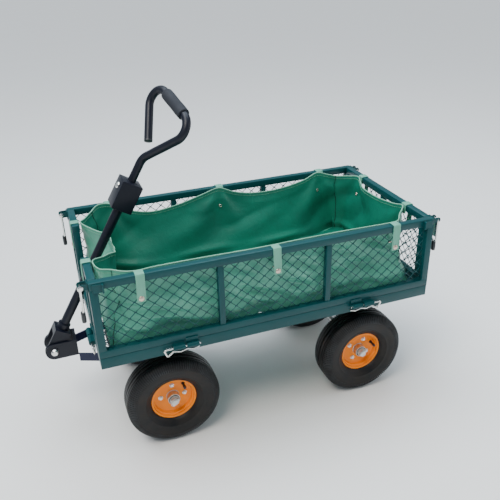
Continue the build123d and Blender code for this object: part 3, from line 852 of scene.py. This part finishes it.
# ---- liner --------------------------------------------------------------------------------------
@dataclass
class Liner:
    """Coated cloth liner hung from the straps, with sagging edges and cut corners."""

    columns: int = 330
    rows: int = 30
    fan: float = 7.0
    slack: float = 54.0
    floor_rings: int = 9
    thick: float = 1.2
    low: float = 347.0
    rim: tuple[tuple[float, float, float], ...] = (
        (-379, 0, 531), (-380, -48, 534), (-412, -88, 541), (-444, -125, 553), (-436, -165, 549),
        (-409, -181, 549), (-382, -204, 550), (-350, -221, 554), (-300, -213, 552),
        (-180, -208, 549), (-70, -214, 550), (0, -221, 554), (90, -213, 551), (200, -210, 550),
        (300, -215, 551), (350, -221, 554), (376, -210, 552), (402, -176, 551), (442, -130, 554),
        (440, -85, 544), (432, -10, 536), (430, 70, 536), (440, 110, 544), (444, 132, 554),
        (430, 172, 545), (404, 208, 537), (370, 217, 546), (335, 221, 554), (285, 219, 535),
        (200, 218, 520), (110, 218, 520), (45, 219, 534), (-5, 221, 554), (-60, 220, 541),
        (-140, 218, 521), (-225, 217, 512), (-300, 219, 530), (-345, 221, 556),
        (-380, 221, 559), (-404, 203, 549), (-428, 165, 546), (-444, 122, 553), (-414, 88, 541),
        (-380, 48, 534))
    straps: tuple[tuple[float, float], ...] = (
        (-444, -125), (-350, -221), (0, -221), (350, -221), (442, -130), (444, 132), (335, 221),
        (-5, 221), (-345, 221), (-444, 122))

    def __post_init__(self) -> None:
        """Work out the even run of points along the rim."""
        pts, dense = [Vector(p) for p in self.rim], []
        for i in range(len(pts)):
            a, b, c, d = (pts[(i + k - 1) % len(pts)] for k in range(4))
            for k in range(24):
                t = k / 24
                dense.append(0.5 * ((2 * b) + (c - a) * t + (2 * a - 5 * b + 4 * c - d) * t * t
                                    + (3 * b - a - 3 * c + d) * t ** 3))
        runs = [0.0]
        for a, b in zip(dense, dense[1:] + dense[:1]):
            runs.append(runs[-1] + (b - a).length)
        self.length = runs[-1]
        self.edge: list[Vector] = []
        k = 0
        for i in range(self.columns):
            want = self.length * i / self.columns
            while runs[k + 1] < want:
                k += 1
            t = (want - runs[k]) / max(1e-9, runs[k + 1] - runs[k])
            self.edge.append(dense[k].lerp(dense[(k + 1) % len(dense)], t))
        self.marks = [self.length / self.columns * self.nearest(x, y) for x, y in self.straps]

    def nearest(self, x: float, y: float) -> int:
        """Find the column whose rim point is nearest to a place on the plan."""
        return min(range(self.columns),
                   key=lambda i: math.hypot(self.edge[i].x - x, self.edge[i].y - y))

    def foot(self, i: int) -> Vector:
        """Give the point of the floor's outline under a rim point."""
        p = self.edge[i]
        x = max(-438.0, min(432.0, p.x * 1.0))
        y = max(-217.0, min(217.0, p.y * 1.02))
        if p.x < -370:
            x = -438.0 + min(34.0, max(0.0, abs(p.y) - 170) * 0.7)
        elif p.x > 372:
            x = 432.0 - min(30.0, max(0.0, abs(p.y) - 170) * 0.6)
        if abs(p.y) > 168:
            y = math.copysign(217.0 - max(0.0, abs(p.x) - 380) * 0.35, p.y)
        middle = min(1.0, max(0.0, (390 - abs(p.x + 15)) / 110)) ** 0.7
        if p.y > 150:
            y -= self.slack * middle * (0.85 + 0.15 * math.sin(p.x * 0.02))
        elif p.y < -150:
            y += self.slack * 0.3 * middle * (0.6 + 0.4 * math.sin(p.x * 0.025 + 2.2))
        return Vector((x, y, self.low))

    def wall(self, i: int, t: float) -> Vector:
        """Give a point of the wall.

        Args:
            i: Column around the rim.
            t: Height, 0 at the floor and 1 at the rim.

        Returns:
            The point, in millimetres.
        """
        low, top = self.foot(i), self.edge[i]
        p = low.lerp(top, 1 - (1 - t) ** 1.7)
        p.z = low.z + (top.z - low.z) * t
        out = Vector((p.x / 1.9, p.y, 0)).normalized()
        if abs(p.y) > 150 and abs(p.x) < 400:
            out = Vector((0, math.copysign(1, p.y), 0))
        elif abs(p.x) > 400:
            out = Vector((math.copysign(1, p.x), 0, 0))
        run = i * self.length / self.columns
        belly = math.sin(math.pi * min(1.0, t * 0.96 + 0.02)) * min(1.0, (1.03 - t) * 5)
        fans = 0.0
        for k, mark in enumerate(self.marks):
            along = (run - mark + self.length / 2) % self.length - self.length / 2
            far = math.hypot(along, top.z - p.z)
            if far < 420:
                ray = math.atan2(top.z - p.z, along)
                fans += math.exp(-far / 170) * math.sin(5.0 * ray + 1.9 * k) * min(1.0, far / 30)
        loose = min(1.0, max(0.0, (-p.y - 110) / 90))
        swell = noise.noise(Vector((p.x, p.y, p.z)) * 0.006) * (13.0 + 7.0 * loose)
        slant = noise.noise(
            Vector((run * 0.006 + p.z * 0.011, p.z * 0.004 - run * 0.002, 4.0)) * (1 + loose))
        crease = (abs(slant) - 0.25) * (-15.0 - 23.0 * loose)
        heel = math.exp(-((t - 0.1) / 0.055) ** 2) * (5.0 + 4.0 * math.sin(run * 0.023))
        push = (self.fan * fans + swell + crease - 5.0) * belly - heel - 1.0
        q = p + out * push
        q.x = max(-450.0, min(450.0, q.x))
        q.y = max(-230.0, min(230.0, q.y))
        if abs(q.y) < 70 and q.x < -300:
            q.x = max(q.x, -441.0 + (t * 62.0 if t < 1 else 62.0))
        return q

    def cloth(self) -> tuple[Shape, float]:
        """Make the open cloth surface, facing inwards, and measure it.

        Returns:
            The shape and its area in square millimetres.
        """
        shape, n = Shape(), self.columns
        uv = shape.bm.loops.layers.uv.new("cloth")
        rings = [[shape.bm.verts.new(self.wall(i, 1 - r / self.rows)) for i in range(n)]
                 for r in range(self.rows + 1)]
        flat: dict[Any, tuple[float, float]] = {}
        for r, ring in enumerate(rings):
            for i, v in enumerate(ring):
                flat[v] = (i * self.length / n * MM, v.co.z * MM)
        last, centre = rings[-1], Vector((0, 0, self.low))
        floor = [last]
        for k in range(1, self.floor_rings + 1):
            s = 1 - k / (self.floor_rings + 0.6)
            ring = []
            for v in last:
                q = centre + (v.co - centre) * s
                q.z = self.low + 1.5 + noise.noise(q * 0.014) * 2.4
                ring.append(shape.bm.verts.new(q))
            floor.append(ring)
        for group in (rings, floor):
            for a, b in zip(group, group[1:]):
                for i in range(n):
                    j = (i + 1) % n
                    face = shape.bm.faces.new((a[i], b[i], b[j], a[j]))
                    for loop in face.loops:
                        if group is rings:
                            x, z = flat[loop.vert]
                            if j == 0 and loop.vert in (a[0], b[0]):
                                x = self.length * MM
                            loop[uv].uv = (x, z)
                        else:
                            loop[uv].uv = (loop.vert.co.x * MM, loop.vert.co.y * MM)
        cap = shape.bm.faces.new(floor[-1][::-1])
        for loop in cap.loops:
            loop[uv].uv = (loop.vert.co.x * MM, loop.vert.co.y * MM)
        bmesh.ops.triangulate(shape.bm, faces=[cap])
        shape.bm.normal_update()
        inward = sum(f.normal.dot(-f.calc_center_median().xy.to_3d()) for f in shape.bm.faces)
        if inward < 0:
            bmesh.ops.reverse_faces(shape.bm, faces=shape.bm.faces)
        return shape, sum(f.calc_area() for f in shape.bm.faces)

    def build(self) -> None:
        """Make the cloth, its bound edge, seams, stitches and stud rings."""
        shape, area = self.cloth()
        cloth = shape.piece("liner_cloth", [Skin.INSIDE, Skin.OUTSIDE], "chassis", "liner_fabric",
                            ["liner"], sharp=80, outward=False)
        wall = cloth.modifiers.new("thickness", "SOLIDIFY")
        wall.thickness, wall.offset = self.thick * MM, -1.0
        wall.material_offset = wall.material_offset_rim = 1
        binding = Shape()
        loop = self.edge_run(1.0, 0.6)
        binding.rod(loop + loop[:1], 1.7, 8)
        bound = binding.piece("liner_binding", Skin.THREAD, "chassis", "liner_fabric")
        seams, path = Shape(), Shape()
        for i in self.seam_columns():
            steps = [self.wall(i, t / 14) for t in range(15)]
            seams.rod([p + Vector((p.x, p.y, 0)).normalized() * 1.0 for p in steps], 1.3, 8)
            seams.rod([p - Vector((p.x, p.y, 0)).normalized() * 0.4 for p in steps], 1.0, 8)
        seam = seams.piece("liner_seams", Skin.SEAM, "chassis", "liner_fabric")
        for drop, gap in ((0.955, -0.4), (0.955, 1.7)):
            run = [path.bm.verts.new(p) for p in self.edge_run(drop, gap)]
            for a, b in zip(run, run[1:] + run[:1]):
                path.bm.edges.new((a, b))
        sewn = stitch_repeat().run(path, Pitch=5.2, Length=3.4, Thread=0.8,
                                   Material=PAINT.get(Skin.THREAD))
        sewn.transform(Matrix.Scale(MM, 4))
        sewn.name = "liner_stitches"
        thread = settle(sewn, "liner_stitches", Skin.THREAD, "chassis")
        ring = self.rings()

    def edge_run(self, height: float, gap: float) -> list[Vector]:
        """Give points around the wall at a height, moved outward by a gap."""
        out = []
        for i in range(self.columns):
            p = self.wall(i, height)
            q = self.wall((i + 1) % self.columns, height)
            side = Vector(((q - p).y, -(q - p).x, 0)).normalized()
            if side.dot(Vector((p.x, p.y, 0))) < 0:
                side = -side
            out.append(p + side * gap)
        return out

    def seam_columns(self) -> list[int]:
        """Find the columns nearest to the four corner seams."""
        return [self.nearest(x, y) for x, y in
                ((-409, -181), (402, -176), (404, 208), (-404, 203))]

    def rings(self) -> bpy.types.Object:
        """Make the small stud rings that show on the inner walls."""
        shape = Shape()
        for x, y in self.straps:
            i = self.nearest(x, y)
            p = self.wall(i, 0.72)
            q = self.wall((i + 1) % self.columns, 0.72)
            way = Vector(((q - p).y, -(q - p).x, 0)).normalized()
            if way.dot(Vector((p.x, p.y, 0))) > 0:
                way = -way
            one = Shape()
            one.turned([(2.2, -0.2), (5.6, -0.2), (5.6, 0.9), (4.8, 1.9), (3.4, 1.9),
                        (2.2, 0.6)], 24)
            one.place(Matrix.Translation(p) @ way.to_track_quat("Y", "Z").to_matrix().to_4x4())
            merge(shape, one)
        return shape.piece("liner_stud_rings", Skin.COPPER, "chassis", "latch_wire")


# ---- latches ------------------------------------------------------------------------------------
@dataclass
class Latches:
    """Wire latches that hang at the four top corners."""

    u: float = 227.5
    out: float = 18.0
    z: float = 544.0
    wire: float = 2.8
    half_width: float = 9.5
    pin: float = 14.0
    leg: float = 62.0
    neck: float = 70.0
    tip: float = 78.0

    def build(self) -> None:
        """Make each wire bail and its dipped pull."""
        for end, wall in (("front", FRONT), ("rear", REAR)):
            for name, side in (("left", -1), ("right", 1)):
                u = side * self.u * (1 if end == "front" else -1)
                bail, pull = Shape(), Shape()
                v, z = self.out, self.z
                w = self.half_width
                loop = [(u - self.pin, v, z), (u + w, v, z), (u + w, v, z - self.leg),
                        (u + 1.6, v + 1.5, z - self.neck),
                        (u + 1.6, v + 2, z - self.tip)]
                bail.rod(fillet(loop, 4, 5), self.wire, 12)
                other = [(u - w, v, z - 0.5), (u - w, v, z - self.leg),
                         (u - 1.6, v + 1.5, z - self.neck),
                         (u - 1.6, v + 2, z - self.tip)]
                bail.rod(fillet(other, 4, 5), self.wire, 12)
                bail.rod([(u - d, v, z) for d in (11.2, 11.3, 13.6, 15.4, 15.6)],
                         [6.4, 7.0, 7.0, 4.6, 3.0], 24)
                bail.bar((u - 6.4, u + 6.4), (v - 1, v + 1), (z - 54, z - 10), 0.6)
                pull.rod([(u, v + 2, z - 68), (u, v + 2, z - 70), (u, v + 2, z - 86),
                          (u, v + 2, z - 97), (u, v + 2, z - 98)], [4.6, 5.6, 6.0, 5.4, 4.0], 20)
                at, body = wall.matrix(), f"latch_{end[0]}{name[0]}"
                bail.place(at).piece(f"bail_{end}_{name}", Skin.ZINC, body, "latch_wire",
                                     [f"latch_{end}_{name}"])
                pull.place(at).piece(f"pull_{end}_{name}", Skin.VINYL, body, "black_plastic")


# ---- running gear -------------------------------------------------------------------------------
@dataclass
class Wheel:
    """Pneumatic tyre on a pressed steel rim, with its bearings and bolts."""

    offset_x: float = 290.0
    offset_y: float = 182.0
    axle_z: float = 130.0
    pcd: float = 68.0
    valve_radius: float = 45.0
    rear_turn: float = -30.0
    sipes: int = 124
    bolts: int = 4
    tyre_steps: int = 96

    def tyre(self) -> Shape:
        """Make the tyre body with circumferential ribs."""
        half = [(62.9, 20.6), (64.8, 25.0), (69.5, 29.6), (75.5, 33.8), (79.0, 35.7), (80.0, 37.3),
                (82.0, 38.0), (83.2, 37.6), (90.0, 40.2), (97.0, 41.6), (104.0, 41.8),
                (107.5, 41.7), (109.0, 39.6), (115.0, 38.2), (120.0, 35.2),
                (124.0, 31.6), (126.6, 27.6), (128.2, 24.9), (125.2, 24.4),
                (125.0, 22.2), (129.2, 21.4), (129.8, 15.0), (126.0, 14.2), (126.0, 12.2),
                (130.0, 11.4), (130.0, 3.4), (126.2, 2.6), (126.2, 0.0)]
        outline = half + [(r, -y) for r, y in half[-2::-1]] + [(60.6, -18.0), (60.6, 18.0)]
        shape = Shape()
        shape.turned(outline, self.tyre_steps)
        return shape

    def sipe_cell(self) -> Shape:
        """Make the pair of thin shoulder bars that is repeated around the tyre."""
        cell = Shape()
        for s in (-1, 1):
            path = [(129.4, 0, s * 24.6), (128.3, 0, s * 29.4), (125.2, 0, s * 34.0),
                    (120.6, 0, s * 38.0), (115.6, 0, s * 41.2), (109.0, 0, s * 42.1)]
            pts = [Vector((r, y, 0)) for r, _, y in path]
            low = [Vector((r - 2.4, y - s * 1.2, 0)) for r, _, y in path]
            side = Vector((0, 0, 1.7))
            ring = [[cell.bm.verts.new(q) for q in (a - side, a + side, b + side, b - side)]
                    for a, b in zip(pts, low)]
            for m, n in zip(ring, ring[1:]):
                for k in range(4):
                    cell.bm.faces.new((m[k], m[(k + 1) % 4], n[(k + 1) % 4], n[k]))
            cell.bm.faces.new(ring[0][::-1])
            cell.bm.faces.new(ring[-1])
        return cell

    def rim(self) -> Shape:
        """Make the two pressed halves of the rim."""
        shape = Shape()
        half = [(17.1, 0.2), (59.8, 0.2), (60.2, 17.6), (61.2, 18.9), (62.8, 19.2), (63.4, 20.2),
                (62.9, 21.4), (61.0, 21.9), (58.9, 21.2), (57.9, 18.8), (57.4, 14.4),
                (56.6, 13.4), (54.8, 12.9), (53.9, 11.8), (53.3, 6.6), (52.2, 4.0),
                (49.6, 2.8), (26.5, 2.8), (24.0, 4.2), (20.5, 4.6), (17.1, 4.6)]
        shape.turned(half)
        shape.turned([(r, -y) for r, y in half])
        return shape

    def hub(self) -> tuple[Shape, Shape]:
        """Make the hub tube and the seals of its bearings."""
        tube, seal = Shape(), Shape()
        side = [(8.1, 22.4), (9.8, 22.4), (10.0, 23.6), (10.8, 23.6), (11.0, 22.2), (15.0, 22.2),
                (15.1, 24.0), (16.2, 24.0), (17.0, 23.2), (17.0, 6.0), (18.4, 4.8)]
        tube.turned(side + [(r, -y) for r, y in side[::-1]], 48)
        for s in (-1, 1):
            seal.turned([(11.2, s * 22.0), (14.9, s * 22.0), (14.9, s * 23.2),
                         (11.2, s * 23.4)], 48)
        return tube, seal

    def bolt_cell(self) -> Shape:
        """Make one rim bolt with a hexagon head on each side, turned to the first hole."""
        cell, r = Shape(), self.pcd / 2
        spot = Vector((r, 0, 0))
        for s in (-1, 1):
            rings = [[(a, s * y) for y, a in ((2.7, 6.6), (3.7, 6.6))], [
                (a, s * y) for y, a in ((3.7, 5.6), (6.9, 5.6), (7.5, 4.8))]]
            for k, ring in enumerate(rings):
                one = Shape()
                one.turned([(0.01, ring[0][1])] + ring + [(0.01, ring[-1][1])], 6 if k else 20)
                merge(cell, one.place(Matrix.Translation(spot)))
            tip = Shape()
            tip.turned([(0.01, s * 7.2), (3.0, s * 7.2), (2.8, s * 8.4), (0.01, s * 8.8)], 16)
            merge(cell, tip.place(Matrix.Translation(spot)))
        return cell

    def valve(self) -> Shape:
        """Make the valve stem with its cap."""
        shape, a = Shape(), self.valve_radius * math.sqrt(0.5)
        shape.rod([(-a, y, a) for y in (2.8, 5.0, 6.0, 17, 17.2, 19, 26, 27)],
                  [5.0, 4.6, 3.4, 3.2, 3.9, 4.3, 4.2, 3.2], 16)
        return shape

    def build(self) -> None:
        """Make the four wheels."""
        ring = ring_repeat()
        for tag, x, side in (("fl", -1, -1), ("fr", -1, 1), ("rl", 1, -1), ("rr", 1, 1)):
            at = (Matrix.Translation((x * self.offset_x, side * self.offset_y, self.axle_z))
                  @ Matrix.Rotation(math.pi if side < 0 else 0.0, 4, "Z")
                  @ Matrix.Rotation(math.radians(self.rear_turn if x > 0 else 0.0), 4, "Y"))
            body = f"wheel_{tag}"
            self.tyre().place(at).piece(f"tyre_body_{tag}", Skin.RUBBER, body, "tyre",
                                        [f"tyre_{tag}"], sharp=50)
            # The shoulder bars carry the paler tread rubber, part wear and part painted highlight.
            for name, cell, count, skin, slot, gone in (
                    ("tyre_shoulder", self.sipe_cell(), self.sipes, Skin.TREAD, "tyre", []),
                    ("wheel_bolts", self.bolt_cell(), self.bolts, Skin.ZINC, "zinc",
                     [f"rim_bolts_{tag}"])):
                made = ring.run(cell, Count=count, Material=PAINT.get(skin))
                made.transform(Matrix.Scale(MM, 4) @ at)
                settle(made, f"{name}_{tag}", skin, body, gone)
            self.rim().place(at).piece(f"rim_dish_{tag}", Skin.ORANGE, body, "orange_paint",
                                       [f"rim_{tag}"])
            tube, seal = self.hub()
            tube.place(at).piece(f"hub_tube_{tag}", Skin.STEEL, body, "bearing_steel",
                                 [f"hub_{tag}"])
            seal.place(at).piece(f"bearing_seal_{tag}", Skin.VINYL, body, "black_plastic")
            self.valve().place(at).piece(f"valve_{tag}", Skin.VINYL, body, "black_plastic")
        dress(Skin.ZINC, "pivot_bolt")
        dress(Skin.STEEL, "front_axle_rod", "rear_axle_rod")
        dress(Skin.BLACK, "front_axle_stand", "rear_axle_stand", "swivel_plate")
        dress(Skin.NAVY, "drawbar_arms")


@dataclass
class Handle:
    """Pull handle: pole, tow box, bent loop and foam grip, along the leaning pole."""

    lean: float = 30.8
    twist: float = 20.0
    pivot: tuple[float, float, float] = (-574.0, 0.0, 250.0)
    box: tuple[float, float] = (443.0, 521.0)
    box_half: tuple[float, float] = (28.0, 31.0)
    bolt_drop: float = 22.0
    pole_radius: float = 12.5
    loop_radius: float = 11.0
    bend: float = 36.0
    corners: tuple[tuple[float, float], ...] = ((507, 0), (588, 0), (727, -143), (782, 120),
                                                (636, 9))

    def matrix(self) -> Matrix:
        """Give the matrix from the pole's space to the frame: z runs along the pole."""
        a = math.radians(self.lean)
        turn = Matrix(((math.cos(a), 0, math.sin(a), 0), (0, 1, 0, 0),
                       (-math.sin(a), 0, math.cos(a), 0), (0, 0, 0, 1)))
        return Matrix.Translation(self.pivot) @ turn

    def loop_point(self, s: float, w: float) -> Vector:
        """Give a point of the hand loop's own plane in the pole's space."""
        a = math.radians(self.twist)
        return Vector((-w * math.sin(a), w * math.cos(a), s))

    def build(self) -> None:
        """Make the handle's pieces."""
        at, (s0, s1) = self.matrix(), self.box
        half_x, half_y = self.box_half
        pole = Shape()
        pole.rod([(0, 0, 46.3), (0, 0, 120), (0, 0, 300), (0, 0, s0 + 12)],
                 self.pole_radius, 40)
        pole.place(at).piece("pole_tube", Skin.BLACK, "handle", "black_paint", ["lower_pole"])
        box = Shape()
        box.bar((-half_x, half_x), (-half_y, half_y), (s0, s1), 1.8, 3)
        box.bar((-14, 14), (-14, 14), (s1 - 0.5, s1 + 0.8), 0.4)
        box.place(at).piece("tow_box", Skin.BLACK, "handle", "black_paint", ["hitch_box"])
        bolt = Shape()
        bolt.turned([(0.01, 0.1), (9.0, 0.1), (9.2, 1.2), (8.2, 3.0), (5.5, 4.5), (0.01, 5.0)], 32)
        bolt.place(at @ Matrix.Translation((-half_x, 0, s1 - self.bolt_drop))
                   @ Matrix.Rotation(math.pi / 2, 4, "Z"))
        bolt.piece("tow_box_bolt", Skin.ZINC, "handle", "zinc", ["hitch_bolt"])
        loop = fillet([self.loop_point(*c) for c in self.corners], self.bend, 14)
        tube = Shape()
        tube.rod(loop, self.loop_radius, 32)
        tube.place(at).piece("hand_loop", Skin.BLACK, "handle", "black_paint", ["upper_handle"])
        a, b = self.loop_point(*self.corners[2]), self.loop_point(*self.corners[3])
        way = (b - a).normalized()
        grip = Shape()
        run = [(68.9, 11.3), (69.1, 13.6), (70.2, 15.2), (72, 15.5), (90, 15.9), (118, 15.4),
               (148, 15.9), (166, 15.5), (167.2, 15.2), (167.9, 13.6), (168.1, 11.3)]
        grip.rod([a + way * d for d, _ in run], [r for _, r in run], 40)
        foam = grip.place(at).piece("grip_sleeve", Skin.FOAM, "handle", "foam", ["foam_grip"])
        end = (loop[-1] - loop[-2]).normalized()
        plug = Shape()
        plug.rod([loop[-1] + end * d for d in (-4, 0.2, 2.8, 4.0)], [9.6, 11.3, 11.0, 8.0], 32)
        plug.place(at).piece("loop_end_plug", Skin.VINYL, "handle", "black_plastic",
                             ["handle_end_plug"])
        dress(Skin.BLACK, "handle_yoke", "drawbar_clevis")


# ---- studio -------------------------------------------------------------------------------------
@dataclass
class Studio:
    """Floor, lights and camera."""

    eye: tuple[float, float, float] = (-0.5358, -1.5289, 1.2554)
    yaw: float = 0.3461
    pitch: float = -0.4683
    roll: float = -0.0255
    lens: float = 44.45

    def camera(self) -> None:
        """Place the camera."""
        y, p, r = self.yaw, self.pitch, self.roll
        ahead = Vector((math.cos(p) * math.sin(y), math.cos(p) * math.cos(y), math.sin(p)))
        level = Vector((math.cos(y), -math.sin(y), 0))
        above = level.cross(ahead)
        right = level * math.cos(r) + above * math.sin(r)
        up = above * math.cos(r) - level * math.sin(r)
        data = bpy.data.cameras.new("camera")
        data.lens, data.sensor_width, data.clip_end = self.lens, 36.0, 50.0
        cam = bpy.data.objects.new("camera", data)
        bpy.context.scene.collection.objects.link(cam)
        turn = Matrix((right, up, -ahead)).transposed().to_4x4()
        cam.matrix_world = Matrix.Translation(self.eye) @ turn
        bpy.context.scene.camera = cam

    def lamp(self, name: str, spot: Point, aim: Point, size: float, power: float,
             colour: str) -> None:
        """Add one soft lamp.

        Args:
            name: The lamp's name.
            spot: Where it hangs.
            aim: What it points at.
            size: Side of its square panel.
            power: Power in watts.
            colour: sRGB hex colour.
        """
        data = bpy.data.lights.new(name, "AREA")
        data.size, data.energy, data.color = size, power, tone(colour)[:3]
        obj = bpy.data.objects.new(name, data)
        bpy.context.scene.collection.objects.link(obj)
        way = Vector(aim) - Vector(spot)
        obj.matrix_world = (Matrix.Translation(spot)
                            @ way.to_track_quat("-Z", "Y").to_matrix().to_4x4())

    def build(self) -> None:
        """Set the floor, the lights and the camera."""
        mesh = bpy.data.meshes.new("floor")
        side = 30.0
        mesh.from_pydata([(-side, -side, 0), (side, -side, 0), (side, side, 0), (-side, side, 0)],
                         [], [(0, 1, 2, 3)])
        floor = bpy.data.objects.new("floor", mesh)
        bpy.context.scene.collection.objects.link(floor)
        mesh.materials.append(Finish("pale_floor", "F1F0ED", "ECEBE8", 0.8, patch=2.0,
                                     relief=0.0).build())
        world = bpy.data.worlds.new("studio")
        bpy.context.scene.world = world
        world.use_nodes = True
        world.node_tree.nodes["Background"].inputs[0].default_value = tone("DCE9F5")
        world.node_tree.nodes["Background"].inputs[1].default_value = 0.5
        self.lamp("key", (-1.5, -1.3, 3.3), (0, 0, 0.4), 1.4, 75, "FFF8EE")
        self.lamp("top", (0.5, 0.7, 3.4), (0, 0, 0.4), 2.6, 95, "E4F2FF")
        self.lamp("side", (2.6, -1.2, 1.6), (0, 0, 0.4), 1.6, 15, "FFFFFF")
        sky = bpy.data.lights.new("overcast", "SUN")
        sky.energy, sky.angle, sky.color = 2.3, math.radians(40), tone("F2F8FF")[:3]
        above = bpy.data.objects.new("overcast", sky)
        bpy.context.scene.collection.objects.link(above)
        above.rotation_euler = (math.radians(-12), math.radians(-22), 0)
        self.camera()


def main() -> None:
    """Build the whole cart and the studio."""
    logging.basicConfig(level=logging.INFO, format="%(message)s")
    Panels(DiamondMesh(), Strap()).build()
    Liner().build()
    Latches().build()
    Wheel().build()
    Handle().build()
    Studio().build()
    bpy.context.view_layer.update()


if __name__ == "__main__":
    main()
